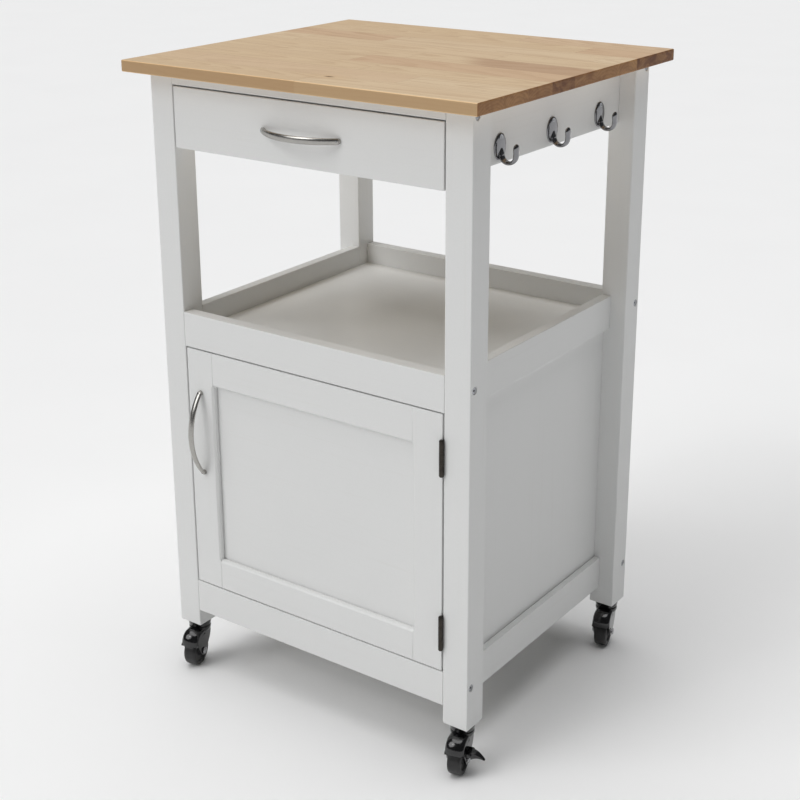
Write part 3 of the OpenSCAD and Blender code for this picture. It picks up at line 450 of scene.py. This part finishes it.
# %% [markdown]
# ## Plastics
# The forks and the pedals are black nylon with a hard gloss, the wheels a softer black that has picked up
# a little floor dust on its tread, and the magnetic catch is plain white. Moulded parts have a slight
# sink and flow to them, which a large weak noise in the bump gives.

# %% Mould the plastics
def moulded(name, colours, roughness, texture_scale, depth):
    """Plastic in two close colours, with a texture that is depth metres deep."""
    finish, shader, point = start_finish(name, IOR=1.5, Coat_Roughness=0.08)
    flow = point.noise(70.0, 2.0, 0.5)
    texture = point.noise(texture_scale, 2.0)
    feed(
        shader,
        Base_Color=flow.rise(0.35, 0.8).blend(*colours),
        Roughness=roughness + texture * 0.12,
        Coat_Weight=0.5 - roughness + flow * 0.2,
        Normal=(flow * 0.6 + texture * 0.4).relief(depth, 0.5),
    )
    return finish


NYLON = shade(9, 9, 10), shade(17, 17, 18)
TREAD = shade(14, 14, 15), shade(27, 26, 26)
CATCH_WHITE = shade(226, 226, 222), shade(232, 232, 229)
gloss_black = moulded("black_gloss", NYLON, 0.10, 900.0, 0.00012)
wheel_black = moulded("wheel_black", TREAD, 0.38, 1600.0, 0.00008)
white_plastic = moulded("white_plastic", CATCH_WHITE, 0.34, 1400.0, 0.00006)
print("plastics", [finish.name for finish in (gloss_black, wheel_black, white_plastic)])

# %% Give every CAD part its finish
def long_axis(node):
    """0, 1 or 2: the axis that this part is longest on, which its grain follows."""
    low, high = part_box(node)
    return max(range(3), key=lambda axis: high[axis] - low[axis])


plain_finish = {
    "butcher_block": butcher, "satin_nickel": nickel_x, "chrome_plate": chrome, "zinc_steel": zinc,
    "dark_steel": bronze, "white_plastic": white_plastic, "black_gloss": gloss_black,
    "wheel_black": wheel_black,
}
finish_of = {}
for node, slot in slot_of.items():
    if slot in ("white_paint", "pine"):
        finish_of[node] = (paint_along if slot == "white_paint" else pine_along)[long_axis(node)]
    else:
        finish_of[node] = plain_finish[slot]
    for material_slot in nodes[node].material_slots:
        material_slot.material = finish_of[node]
print("finishes on", len(finish_of), "parts")

# %% [markdown]
# ## Eased edges
# No board leaves a workshop with knife edges: they are sanded round, and the little roundings catch the
# light and draw the bright line that shows where one board ends. A CAD model has none of them, so most
# boards are copied, their loose triangles are joined into whole faces, and their long outer edges get a
# small bevel. The short edges round screw holes stay as they are, because a bevel there would eat the
# hole.

# %% Tools for turning a bmesh into a piece
SAME_POINT = 0.00001
FLAT_UP_TO, SMOOTH_UP_TO, CORNER_FROM = radians(0.4), radians(40), radians(40)


def copy_of(node):
    """The CAD part's own shape with its triangles joined into whole faces."""
    shape = bmesh.new()
    shape.from_mesh(nodes[node].data)
    bmesh.ops.remove_doubles(shape, verts=shape.verts[:], dist=SAME_POINT)
    bmesh.ops.dissolve_limit(shape, angle_limit=FLAT_UP_TO, verts=shape.verts[:], edges=shape.edges[:])
    return shape


def rounded(shape, edges, radius, segments):
    """Bevels these edges to a round."""
    bmesh.ops.bevel(shape, geom=edges, offset=radius, offset_type="OFFSET", segments=segments,
                    profile=0.5, affect="EDGES", clamp_overlap=True, material=-1)


def ease(shape, radius, shortest=0.010, segments=3):
    """Rounds the outer corners that are longer than shortest."""
    corners = [
        edge for edge in shape.edges
        if edge.is_manifold and edge.calc_length() > shortest
        and edge.calc_face_angle_signed() > CORNER_FROM
    ]
    rounded(shape, corners, radius, segments)


def settle(name, shape, body, finish, stands_for=()):
    """Makes the bmesh a piece: its finish, the body that it rides and the CAD parts that it stands for."""
    mesh = bpy.data.meshes.new(name)
    shape.to_mesh(mesh)
    shape.free()
    mesh.materials.append(finish)
    mesh.shade_smooth()
    mesh.set_sharp_from_angle(angle=SMOOTH_UP_TO)
    piece = bpy.data.objects.new(name, mesh)
    bpy.context.scene.collection.objects.link(piece)
    even = piece.modifiers.new("even_shading", "WEIGHTED_NORMAL")
    even.keep_sharp = True
    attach(piece, body)
    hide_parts(*stands_for)
    return piece


def body_of(node):
    """The moving body that a CAD part belongs to."""
    return nodes[node]["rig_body"]


# %% Ease the boards
BOARD_EDGE, LEG_EDGE, TOP_EDGE, LEAF_EDGE = 0.0009, 0.0016, 0.0018, 0.0004
eased_edges = {"worktop": TOP_EDGE}
eased_edges.update({node: LEG_EDGE for node in nodes if node.startswith("leg_")})
RAIL_ENDINGS = ("_rail", "_rail_left", "_rail_right")
eased_edges.update({node: BOARD_EDGE for node in nodes if node.endswith(RAIL_ENDINGS)})
eased_edges.update({
    node: BOARD_EDGE for node in (
        "front_stretcher", "rear_apron", "side_apron_left", "side_apron_right", "open_shelf", "cabinet_floor",
        "inner_shelf", "drawer_front", "drawer_side_left", "drawer_side_right", "drawer_back",
        "door_stile_left", "door_stile_right",
    )
})
for node, radius in eased_edges.items():
    board = copy_of(node)
    before = len(board.faces)
    ease(board, radius)
    piece = settle("eased_" + node, board, body_of(node), finish_of[node], [node])
    print(piece.name, before, "faces ->", len(piece.data.polygons))
for node in ("hinge_leg_leaves", "hinge_door_leaves"):
    leaves = copy_of(node)
    ease(leaves, LEAF_EDGE, shortest=0.0, segments=2)
    settle("eased_" + node, leaves, body_of(node), finish_of[node], [node])

# %% [markdown]
# ## Bow handles
# Each handle is a flat bar bent to an arc, wider and thicker in the middle, with a short round foot under
# each end. A bar bent to an arc is what the spin operator makes: an oval section is set at the start of the
# arc and spun round the arc's centre. Then every point is drawn towards the arc's middle line by its
# distance from the crown, which gives the taper, and the two open ends are capped and rounded.

# %% Bend a bow
BOW_TAPER, TAPER_POWER = 0.14, 2.5
SECTION_SIDES, BOW_STEPS = 28, 56


def bow(out, foot_out, rise, wide, thick):
    """A bow along X that stands on z = 0: its greatest height, half the distance between its feet."""
    crown = out - thick / 2
    arc_radius = (foot_out ** 2 + crown ** 2) / (2 * crown)
    centre = Vector((0, 0, crown - arc_radius))
    half = acos((arc_radius - crown + rise) / arc_radius)
    shape = bmesh.new()
    section = bmesh.ops.create_circle(shape, segments=SECTION_SIDES, radius=0.5)["verts"]
    bmesh.ops.scale(shape, vec=(thick, wide, 1), verts=section)
    bmesh.ops.translate(shape, vec=centre + Vector((arc_radius, 0, 0)), verts=section)
    bmesh.ops.rotate(shape, cent=centre, matrix=Matrix.Rotation(half - pi / 2, 3, "Y"), verts=section)
    bmesh.ops.spin(shape, geom=shape.edges[:], cent=centre, axis=(0, 1, 0), angle=-2 * half, steps=BOW_STEPS,
                   dvec=(0, 0, 0), use_merge=False, use_duplicate=False, use_normal_flip=False)
    for point in shape.verts:
        arm = point.co - centre
        turn = atan2(arm.x, arm.z)
        narrow = 1 - BOW_TAPER * abs(turn / half) ** TAPER_POWER
        spoke = Vector((sin(turn), 0, cos(turn)))
        off = arm.dot(spoke) - arc_radius
        point.co = centre + spoke * (arc_radius + off * narrow) + Vector((0, arm.y * narrow, 0))
    caps = bmesh.ops.holes_fill(shape, edges=shape.edges[:], sides=SECTION_SIDES)["faces"]
    rims = [edge for cap in caps for edge in cap.edges]
    rounded(shape, rims, thick * 0.3, 4)
    return shape


def add_foot(shape, x, radius, height):
    """A round foot with a slightly flared base."""
    foot = bmesh.ops.create_cone(shape, cap_ends=True, segments=32, radius1=radius,
                                 radius2=radius * FOOT_FLARE, depth=height)["verts"]
    bmesh.ops.translate(shape, vec=(x, 0, height / 2), verts=foot)
    ring = [
        edge for edge in shape.edges
        if edge.verts[0] in foot and edge.calc_face_angle(0) > radians(60)
    ]
    rounded(shape, ring, FOOT_EDGE, 2)


# %% Fix the two handles
BAR_WIDE, BAR_THICK, END_RISE = 0.0094, 0.0048, 0.0020
FOOT_RADIUS, FOOT_FLARE, FOOT_EDGE, FOOT_INTO_BAR = 0.0038, 0.88, 0.0004, 0.0012
drawer_low, drawer_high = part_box("drawer_handle")
handle_out = drawer_high.y - drawer_low.y
foot_x = (drawer_high.x - drawer_low.x) / 2
for node, body, turn, finish in (
    ("drawer_handle", "drawer", 0.0, nickel_x),
    ("door_handle", "door", pi / 2, nickel_z),
):
    low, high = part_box(node)
    handle = bow(handle_out, foot_x, END_RISE, BAR_WIDE, BAR_THICK)
    for side in (-1, 1):
        add_foot(handle, side * (foot_x - FOOT_RADIUS), FOOT_RADIUS, END_RISE + FOOT_INTO_BAR)
    middle = (low + high) / 2
    place = (Matrix.Translation((middle.x, high.y, middle.z)) @ Matrix.Rotation(pi / 2, 4, "X")
             @ Matrix.Rotation(turn, 4, "Z"))
    bmesh.ops.transform(handle, matrix=place, verts=handle.verts[:])
    bmesh.ops.recalc_face_normals(handle, faces=handle.faces[:])
    settle("bow_" + node, handle, body, finish, [node])
    print(node, "stands", round(handle_out * 1000, 1), "mm out")

# %% [markdown]
# ## Hooks
# A hook is a domed oval plate with a flat strip that runs down it, round under and up again to a rounded
# tip. The plate is half of a squashed ball, cut off flat at the back. The strip starts as a small oval
# section inside the plate, widens as it is pushed down and out, is spun half a turn, pushed up, and
# closed at both ends by ever smaller rings.

# %% Measure the hooks
HOOK_DOME, HOOK_SKIRT = 0.0023, 0.0006
STRIP_WIDE, STRIP_THICK, STRIP_OFF_WALL, STRIP_START = 0.0112, 0.0048, 0.003, 0.0008
TIP_RISE, FLOW_LENGTH, FLOW_SHARE, FLOW_RINGS, FLOW_POWER = 0.0145, 0.011, 0.35, 5, 0.8
PLATE_WIDE, PLATE_TALL = 0.027, 0.034
hooks_low, hooks_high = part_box("hooks")
opening_of = {opening["name"]: opening["box_m"] for opening in frame["record"]["physics"]["openings"]}
hook_ys = [
    (opening_of[name][0][1] + opening_of[name][1][1]) / 2
    for name in ("hook_gap_front", "hook_gap_middle", "hook_gap_rear")
]
wall_x, plate_z = hooks_low.x, hooks_high.z - PLATE_TALL / 2
bend_radius = (hooks_high.x - wall_x - STRIP_OFF_WALL - STRIP_THICK / 2) / 2
bend_x = wall_x + STRIP_OFF_WALL + bend_radius
bend_z = hooks_low.z + bend_radius + STRIP_THICK / 2
print("the hooks bend round", round(bend_radius * 1000, 1), "mm")


# %% Tools for pushing a ring of edges along
def pushed(shape, rim, move):
    """Extrudes a ring of edges by a move, and returns the new ring's points and edges."""
    made = bmesh.ops.extrude_edge_only(shape, edges=rim)["geom"]
    points = [item for item in made if isinstance(item, bmesh.types.BMVert)]
    edges = [item for item in made if isinstance(item, bmesh.types.BMEdge)]
    bmesh.ops.translate(shape, vec=move, verts=points)
    return points, [edge for edge in edges if set(edge.verts) <= set(points)]


def swollen(points, factor):
    """Scales a ring about its own middle."""
    middle = sum((point.co for point in points), Vector()) / len(points)
    for point in points:
        point.co = middle + (point.co - middle) * factor


def closed_by_rings(shape, rim, ahead, reach, rings=5):
    """Closes a ring of edges with ever smaller rings, like the round end of a finger."""
    done, size = 0.0, 1.0
    for step in range(1, rings + 1):
        angle = pi / 2 * step / (rings + 0.3)
        points, rim = pushed(shape, rim, ahead * reach * (sin(angle) - done))
        swollen(points, cos(angle) / size)
        done, size = sin(angle), cos(angle)
    bmesh.ops.edgeloop_fill(shape, edges=rim)


# %% Cast a hook
def hook(y):
    """The hook whose plate is centred on this y."""
    shape = bmesh.new()
    ball = bmesh.ops.create_uvsphere(shape, u_segments=40, v_segments=20, radius=1.0)["verts"]
    bmesh.ops.rotate(shape, cent=(0, 0, 0), matrix=Matrix.Rotation(pi / 2, 3, "Y"), verts=ball)
    bmesh.ops.scale(shape, vec=(HOOK_DOME, PLATE_WIDE / 2, PLATE_TALL / 2), verts=ball)
    bmesh.ops.bisect_plane(shape, geom=shape.verts[:] + shape.edges[:] + shape.faces[:], plane_co=(0, 0, 0),
                           plane_no=(1, 0, 0), clear_inner=True, dist=SAME_POINT)
    bmesh.ops.translate(shape, vec=(wall_x + HOOK_SKIRT, y, plate_z), verts=shape.verts[:])
    rim = [edge for edge in shape.edges if edge.is_boundary]
    back = pushed(shape, rim, Vector((-HOOK_SKIRT, 0, 0)))[1]
    bmesh.ops.edgeloop_fill(shape, edges=back)
    strip = bmesh.ops.create_circle(shape, segments=28, radius=0.5)["verts"]
    bmesh.ops.scale(shape, vec=(STRIP_THICK * FLOW_SHARE, STRIP_WIDE * FLOW_SHARE, 1), verts=strip)
    start = Vector((wall_x + STRIP_START, y, bend_z + FLOW_LENGTH))
    bmesh.ops.translate(shape, vec=start, verts=strip)
    first = [edge for edge in shape.edges if edge.verts[0] in strip]
    whole_way, rim = Vector((bend_x - bend_radius, y, bend_z)) - start, first
    share = FLOW_SHARE
    for step in range(1, FLOW_RINGS + 1):
        points, rim = pushed(shape, rim, whole_way / FLOW_RINGS)
        wanted = FLOW_SHARE + (1 - FLOW_SHARE) * (step / FLOW_RINGS) ** FLOW_POWER
        swollen(points, wanted / share)
        share = wanted
    bent = bmesh.ops.spin(shape, geom=rim, cent=(bend_x, y, bend_z), axis=(0, 1, 0), angle=-pi, steps=28,
                          dvec=(0, 0, 0), use_merge=False, use_duplicate=False,
                          use_normal_flip=False)["geom_last"]
    rim = [item for item in bent if isinstance(item, bmesh.types.BMEdge)]
    for rise, growth in ((0.22, 0.94), (0.22, 1.10), (0.14, 1.04)):
        points, rim = pushed(shape, rim, Vector((0, 0, TIP_RISE * rise)))
        swollen(points, growth)
    closed_by_rings(shape, rim, Vector((0, 0, 1)), TIP_RISE * 0.42, 7)
    closed_by_rings(shape, first, Vector((-0.15, 0, 1)), 0.003)
    bmesh.ops.recalc_face_normals(shape, faces=shape.faces[:])
    return shape


for place_name, y in zip(("front", "middle", "rear"), hook_ys):
    piece = settle("hook_" + place_name, hook(y), "frame", chrome, ["hooks"])
    print(piece.name, "at y", round(y, 3), len(piece.data.polygons), "faces")

# %% [markdown]
# ## Casters
# Each caster has a bearing cup screwed up into the leg, a glossy fork and one wheel on a pressed axle. A
# moulded fork has hardly a flat face, so it is put together from soft shapes. The crown is an outline spun
# round the swivel. The hood is cut out in side view, sliced across, and each slice is drawn in towards the
# axle by its distance from the middle, so the hood becomes a dome that follows the wheel.
# Each cheek is a plate cut along the smallest outline that wraps four round bosses, which is how a
# draughtsman would draw it. The wheel and the axle with its two domed heads are spun as well.

# %% Find each caster
joint_of = {joint["name"]: joint for joint in frame["joints"]}
CORNERS = ("front_left", "front_right", "rear_left", "rear_right")


def caster_place(corner):
    """Where the caster's own axes lie: X along its axle, Z up its swivel, the floor at 0."""
    swivel = joint_of["caster_swivel_" + corner]["pos_m"]
    axle_x, axle_y, _ = joint_of["wheel_spin_" + corner]["axis"]
    return Matrix.Translation((swivel[0], swivel[1], 0)) @ Matrix.Rotation(atan2(axle_y, axle_x), 4, "Z")


def box_in(place, node):
    """The lowest and highest corner of a CAD part, measured along the caster's own axes."""
    back = place.inverted()
    inside = [back @ point.co for point in nodes[node].data.vertices]
    return Vector(map(min, *inside)), Vector(map(max, *inside))


for corner in CORNERS:
    axle_x, axle_y, _ = joint_of["wheel_spin_" + corner]["axis"]
    print(corner, "turned", round(atan2(axle_y, axle_x) * 180 / pi, 1))


# %% Turn the wheels
ROUND_X, ROUND_Z = (1, 0, 0), (0, 0, 1)


def turned(outline, axis, closed=True, steps=72):
    """Spins an outline of (x, z) pairs in metres once round an axis."""
    shape = bmesh.new()
    points = [shape.verts.new((x, 0, z)) for x, z in outline]
    ends = points[1:] + points[:1] if closed else points[1:]
    lines = [shape.edges.new(pair) for pair in zip(points, ends)]
    bmesh.ops.spin(shape, geom=points + lines, cent=(0, 0, 0), axis=axis, angle=2 * pi, steps=steps,
                   dvec=(0, 0, 0), use_merge=True, use_duplicate=False, use_normal_flip=False)
    bmesh.ops.remove_doubles(shape, verts=shape.verts[:], dist=SAME_POINT)
    bmesh.ops.recalc_face_normals(shape, faces=shape.faces[:])
    return shape


def both_sides(half):
    """A half outline in millimetres, mirrored, in metres."""
    left = [(-along / 1000, away / 1000) for along, away in half]
    return left + [(-along, away) for along, away in reversed(left)]


HALF_WHEEL = [
    (9.3, 3.1), (9.3, 7.4), (8.9, 8.0), (6.9, 8.6), (6.4, 9.4), (6.4, 15.2), (6.8, 16.2), (9.0, 17.0),
    (9.5, 17.8), (9.5, 20.2), (9.2, 21.2), (8.5, 22.0), (7.4, 22.6), (6.0, 22.9), (4.0, 23.0),
]
AXLE_RADIUS, HEAD_RADIUS, HEAD_DOME, HEAD_THICK = 2.9, 5.0, 1.2, 1.5
for corner in CORNERS:
    place = caster_place(corner)
    node = "wheel_" + corner
    low, high = box_in(place, node)
    hub = Matrix.Translation(joint_of["wheel_spin_" + corner]["pos_m"]) @ place.to_3x3().to_4x4()
    wheel = turned(both_sides(HALF_WHEEL), ROUND_X)
    bmesh.ops.transform(wheel, matrix=hub, verts=wheel.verts[:])
    settle("rolling_" + node, wheel, node, wheel_black, [node])
    reach = (high.x - low.x) * 500
    axle = turned(both_sides([
        (reach, 0.0), (reach, HEAD_RADIUS * 0.55), (reach - 0.25, HEAD_RADIUS * 0.78),
        (reach - 0.7, HEAD_RADIUS * 0.94), (reach - HEAD_DOME, HEAD_RADIUS),
        (reach - HEAD_THICK, HEAD_RADIUS), (reach - HEAD_THICK, AXLE_RADIUS),
    ]), ROUND_X, closed=False, steps=40)
    bmesh.ops.transform(axle, matrix=hub, verts=axle.verts[:])
    settle("axle_" + corner, axle, node, bright_steel, [node])
    print(node, "axle reaches", round(reach, 2), "mm")

# %% Outline a crown
FORK_EDGE, CUP_EDGE = 0.0011, 0.0008
CROWN_OUTLINE = [
    (5.3, 53.8), (5.3, 59.3), (5.8, 59.6), (14.2, 59.6), (15.4, 59.2), (16.2, 58.2), (16.5, 56.6),
    (16.3, 54.0), (15.4, 51.4), (13.6, 49.2), (12.2, 48.3), (9.4, 48.3), (9.2, 48.6), (9.2, 53.6),
    (9.0, 53.8),
]


def poured(into, shape):
    """Adds one bmesh to another and frees it."""
    carrier = bpy.data.meshes.new("carrier")
    shape.to_mesh(carrier)
    shape.free()
    into.from_mesh(carrier)
    bpy.data.meshes.remove(carrier)


def widened(shape, faces, across):
    """Extrudes faces into a solid that reaches across along X."""
    lifted = bmesh.ops.extrude_face_region(shape, geom=faces, use_keep_orig=True)["geom"]
    bmesh.ops.translate(shape, vec=(across, 0, 0),
                        verts=[item for item in lifted if isinstance(item, bmesh.types.BMVert)])


print("crown outline has", len(CROWN_OUTLINE), "points")

# %% Dome a hood
HUB = Vector((-0.016, 0.023))
WELL, HOOD_TOP, HOOD_HALF, HOOD_DRAW = 0.0253, 0.0597, 0.0134, 0.0070
BACK_BULGE, BACK_RADIUS, WELL_GAP = Vector((-0.0204, 0.0412)), 0.0184, 0.0004
LIP, WELL_END, HOOD_SLICES, WELL_STEPS = radians(40), -0.0092, 15, 24


def round_hub(radius, turn):
    """A point of the side view (y, z) at a turn from straight back, round the axle."""
    return HUB + Vector((-cos(turn), sin(turn))) * radius


def hood():
    """The rounded head over the wheel, from the crown down to the lip behind the wheel."""
    bulge = [BACK_BULGE + Vector((-cos(turn), sin(turn))) * BACK_RADIUS
             for turn in (radians(4 * step) for step in range(-2, 24))]
    wrapped = bulge + [Vector((WELL_END, HOOD_TOP)), round_hub(WELL, LIP), Vector((WELL_END, HUB.y))]
    outer = [wrapped[index] for index in convex_hull_2d(wrapped)]
    outer = [
        point for point in outer
        if (point - HUB).length > WELL + SAME_POINT and point.x <= WELL_END + SAME_POINT
    ]
    outer.sort(key=lambda point: atan2(point.y - HUB.y, HUB.x - point.x))
    well_turn = acos((HUB.x - WELL_END) / WELL)
    inner = [
        round_hub(WELL, well_turn + (LIP - well_turn) * step / WELL_STEPS)
        for step in range(WELL_STEPS + 1)
    ]
    shape = bmesh.new()
    side = shape.faces.new([shape.verts.new((-HOOD_HALF, *point)) for point in outer + inner])
    widened(shape, [side], 2 * HOOD_HALF)
    across = [edge for edge in shape.edges if abs(edge.verts[0].co.x - edge.verts[1].co.x) > HOOD_HALF]
    bmesh.ops.subdivide_edges(shape, edges=across, cuts=HOOD_SLICES)
    for point in shape.verts:
        turn = point.co.x / HOOD_HALF * pi / 2
        point.co.x = HOOD_HALF * sin(turn)
        arm = point.co.yz - HUB
        if arm.length > WELL + SAME_POINT:
            drawn = max(arm.length - HOOD_DRAW * (1 - cos(turn)), WELL + WELL_GAP)
            point.co.yz = HUB + arm * (drawn / arm.length)
    bmesh.ops.recalc_face_normals(shape, faces=shape.faces[:])
    return shape


print("hood lip", round(LIP * 180 / pi), "degrees above the axle")

# %% Cut a cheek
CHEEK_IN, CHEEK_OUT, WINDOW_HALF = 0.0106, 0.0134, 0.0073
LUG_ROUND, LUG_EDGE = 0.0028, 0.0005
CHEEK_BOSSES = [(-16.0, 23.0, 8.0), (-26.0, 40.0, 7.0), (-2.0, 42.0, 8.5), (0.0, 48.0, 8.5)]


def cheek(side, window):
    """A plate beside the wheel. window is the lowest and highest z of the slot for a brake pad."""
    turns = [step * pi / 24 for step in range(48)]
    rim = [
        Vector((along + radius * cos(turn), high + radius * sin(turn))) / 1000
        for along, high, radius in CHEEK_BOSSES for turn in turns
    ]
    shape = bmesh.new()
    shape.faces.new([shape.verts.new((side * CHEEK_IN, *rim[index])) for index in convex_hull_2d(rim)])
    if window:
        middle = CHEEK_BOSSES[0][0] / 1000
        sides = [((0, middle + half, 0), (0, 1, 0)) for half in (-WINDOW_HALF, WINDOW_HALF)]
        ends = [((0, 0, z), (0, 0, 1)) for z in window]
        for spot, across in sides + ends:
            bmesh.ops.bisect_plane(shape, geom=shape.verts[:] + shape.edges[:] + shape.faces[:],
                                   plane_co=spot, plane_no=across, dist=SAME_POINT / 10)
        slot = [
            face for face in shape.faces
            if abs(face.calc_center_median().y - middle) < WINDOW_HALF
            and window[0] < face.calc_center_median().z < window[1]
        ]
        bmesh.ops.delete(shape, geom=slot, context="FACES")
    widened(shape, shape.faces[:], side * (CHEEK_OUT - CHEEK_IN))
    bmesh.ops.recalc_face_normals(shape, faces=shape.faces[:])
    ease(shape, FORK_EDGE, shortest=0.0, segments=3)
    return shape


def lug(box_low, box_high):
    """An ear of the fork that holds a pedal, rounded at its far end."""
    shape = bmesh.new()
    bmesh.ops.create_cube(shape, size=1.0)
    bmesh.ops.scale(shape, vec=box_high - box_low, verts=shape.verts[:])
    bmesh.ops.translate(shape, vec=(box_low + box_high) / 2, verts=shape.verts[:])
    ends = [
        edge for edge in shape.edges
        if all(point.co.x > (box_low.x + box_high.x) / 2 for point in edge.verts)
        and abs(edge.verts[0].co.y - edge.verts[1].co.y) > SAME_POINT
    ]
    rounded(shape, ends, LUG_ROUND, 6)
    ease(shape, LUG_EDGE, shortest=0.0, segments=2)
    return shape


print("cheeks", round((CHEEK_OUT - CHEEK_IN) * 1000, 1), "mm thick")

# %% Put the forks together
LUG_THICK, LUG_BELOW, LUG_ABOVE, LUG_PAST_PIN, LUG_IN_CHEEK = 0.0022, 0.0030, 0.0022, 0.0026, 0.001
WINDOW_BELOW, WINDOW_ABOVE = 0.0063, 0.0038
crown_rim = [(away / 1000, high / 1000) for away, high in CROWN_OUTLINE]
BRAKED = ("front_right", "rear_left")
for corner in CORNERS:
    place = caster_place(corner)
    hub = place.inverted() @ Vector(joint_of["wheel_spin_" + corner]["pos_m"])
    pivot, window = None, None
    if corner in BRAKED:
        pivot = place.inverted() @ Vector(joint_of["brake_press_" + corner]["pos_m"])
        window = (pivot.z - WINDOW_BELOW, pivot.z + WINDOW_ABOVE)
    fork = turned(crown_rim, ROUND_Z)
    poured(fork, hood())
    poured(fork, cheek(-1, None))
    poured(fork, cheek(1, window))
    if pivot:
        for side in (-1, 1):
            near, far = sorted((hub.y + side * WINDOW_HALF, hub.y + side * (WINDOW_HALF + LUG_THICK)))
            poured(fork, lug(Vector((CHEEK_OUT - LUG_IN_CHEEK, near, pivot.z - LUG_BELOW)),
                             Vector((pivot.x + LUG_PAST_PIN, far, pivot.z + LUG_ABOVE))))
    bmesh.ops.transform(fork, matrix=place, verts=fork.verts[:])
    piece = settle("moulded_fork_" + corner, fork, "caster_" + corner, gloss_black,
                   ["fork_" + corner])
    print(piece.name, len(piece.data.polygons), "faces, hub", [round(value * 1000, 1) for value in hub])
cups = copy_of("caster_stems")
ease(cups, CUP_EDGE, shortest=0.0, segments=3)
settle("rounded_cups", cups, "frame", gloss_black, ["caster_stems"])

# %% [markdown]
# ## Brake pedals
# Two casters have a brake: a pedal like a beak that grows out of the side of the fork. Stepping on it
# turns its pad on to the tread. The beak is a block, cut into slices along its length. The top of each
# slice falls away faster and faster towards the tip while its underside arches, and then the corners are
# rounded. The heel is cut back underneath, or it would strike the axle when the pedal is down.

# %% Shape the pedals
BEAK_SLICES, BEAK_WIDE, BEAK_TIP, BEAK_BACK, HEEL = 12, 0.0125, 0.30, 0.0010, 0.0026
BEAK_EDGE, BEAK_SHORT, NARROWING = 0.0010, 0.0002, 1.7
CREST, CREST_LIFT, CREST_FALL = 0.0032, 0.0012, 0.0108
UNDER, UNDER_ARCH, UNDER_DROP = -0.0076, 0.0130, 0.0006
KNUCKLE_RADIUS, PAD_TALL, PAD_SHARE, PAD_LIFT = 0.0015, 0.0042, 0.7, 0.0006


def pedal(place, node, pivot):
    """The beak, its knuckle and its pad, turned about the pivot that the CAD part has."""
    low, high = box_in(place, node)
    length = high.x - pivot.x - BEAK_SHORT + BEAK_BACK
    shape = bmesh.new()
    bmesh.ops.create_cube(shape, size=1.0)
    bmesh.ops.scale(shape, vec=(length, BEAK_WIDE, 1), verts=shape.verts[:])
    bmesh.ops.translate(shape, vec=(length / 2 - BEAK_BACK, 0, 0), verts=shape.verts[:])
    long_edges = [
        edge for edge in shape.edges if abs(edge.verts[0].co.x - edge.verts[1].co.x) > length / 2
    ]
    bmesh.ops.subdivide_edges(shape, edges=long_edges, cuts=BEAK_SLICES)
    for point in shape.verts:
        share = max(point.co.x + BEAK_BACK, 0.0) / length
        crest = CREST + CREST_LIFT * share - CREST_FALL * share ** 2
        under = UNDER + UNDER_ARCH * share * (1 - share) - UNDER_DROP * share
        point.co.y *= 1 - (1 - BEAK_TIP) * share ** NARROWING
        if point.co.z > 0:
            point.co.z = crest
        else:
            point.co.z = under
            point.co.x += HEEL * (1 - share) ** 2
    ease(shape, BEAK_EDGE, shortest=0.0, segments=3)
    knuckle = bmesh.ops.create_cone(shape, cap_ends=True, segments=32, radius1=KNUCKLE_RADIUS,
                                    radius2=KNUCKLE_RADIUS, depth=high.y - low.y)["verts"]
    bmesh.ops.rotate(shape, cent=(0, 0, 0), matrix=Matrix.Rotation(pi / 2, 3, "X"), verts=knuckle)
    pad = bmesh.ops.create_cube(shape, size=1.0)["verts"]
    bmesh.ops.scale(shape, vec=(pivot.x - low.x, BEAK_WIDE * PAD_SHARE, PAD_TALL), verts=pad)
    bmesh.ops.translate(shape, vec=((low.x - pivot.x) / 2, 0, -PAD_TALL / 2 + PAD_LIFT), verts=pad)
    bmesh.ops.translate(shape, vec=pivot, verts=shape.verts[:])
    bmesh.ops.transform(shape, matrix=place, verts=shape.verts[:])
    bmesh.ops.recalc_face_normals(shape, faces=shape.faces[:])
    return shape


for corner in BRAKED:
    place = caster_place(corner)
    node = "brake_lever_" + corner
    pivot = place.inverted() @ Vector(joint_of["brake_press_" + corner]["pos_m"])
    piece = settle("pedal_" + corner, pedal(place, node, pivot), "brake_" + corner,
                   gloss_black, [node])
    print(piece.name, len(piece.data.polygons), "faces")


# %% [markdown]
# ## Floor
# The cart stands on a plain pale floor, so wide that its edge is never seen. It is stage, not cart.

# %% Lay the floor
FLOOR_HALF = 40.0
floor_shape = bmesh.new()
bmesh.ops.create_grid(floor_shape, x_segments=1, y_segments=1, size=FLOOR_HALF)
floor_mesh = bpy.data.meshes.new("floor")
floor_shape.to_mesh(floor_mesh)
floor_shape.free()
pale, pale_shader, point = start_finish("pale_floor", Roughness=0.9)
feed(pale_shader, Base_Color=point.noise(3.0).blend(shade(247, 247, 247), shade(250, 250, 250)))
floor_mesh.materials.append(pale)
floor = bpy.data.objects.new("floor", floor_mesh)
bpy.context.scene.collection.objects.link(floor)
print("floor", 2 * FLOOR_HALF, "m wide")
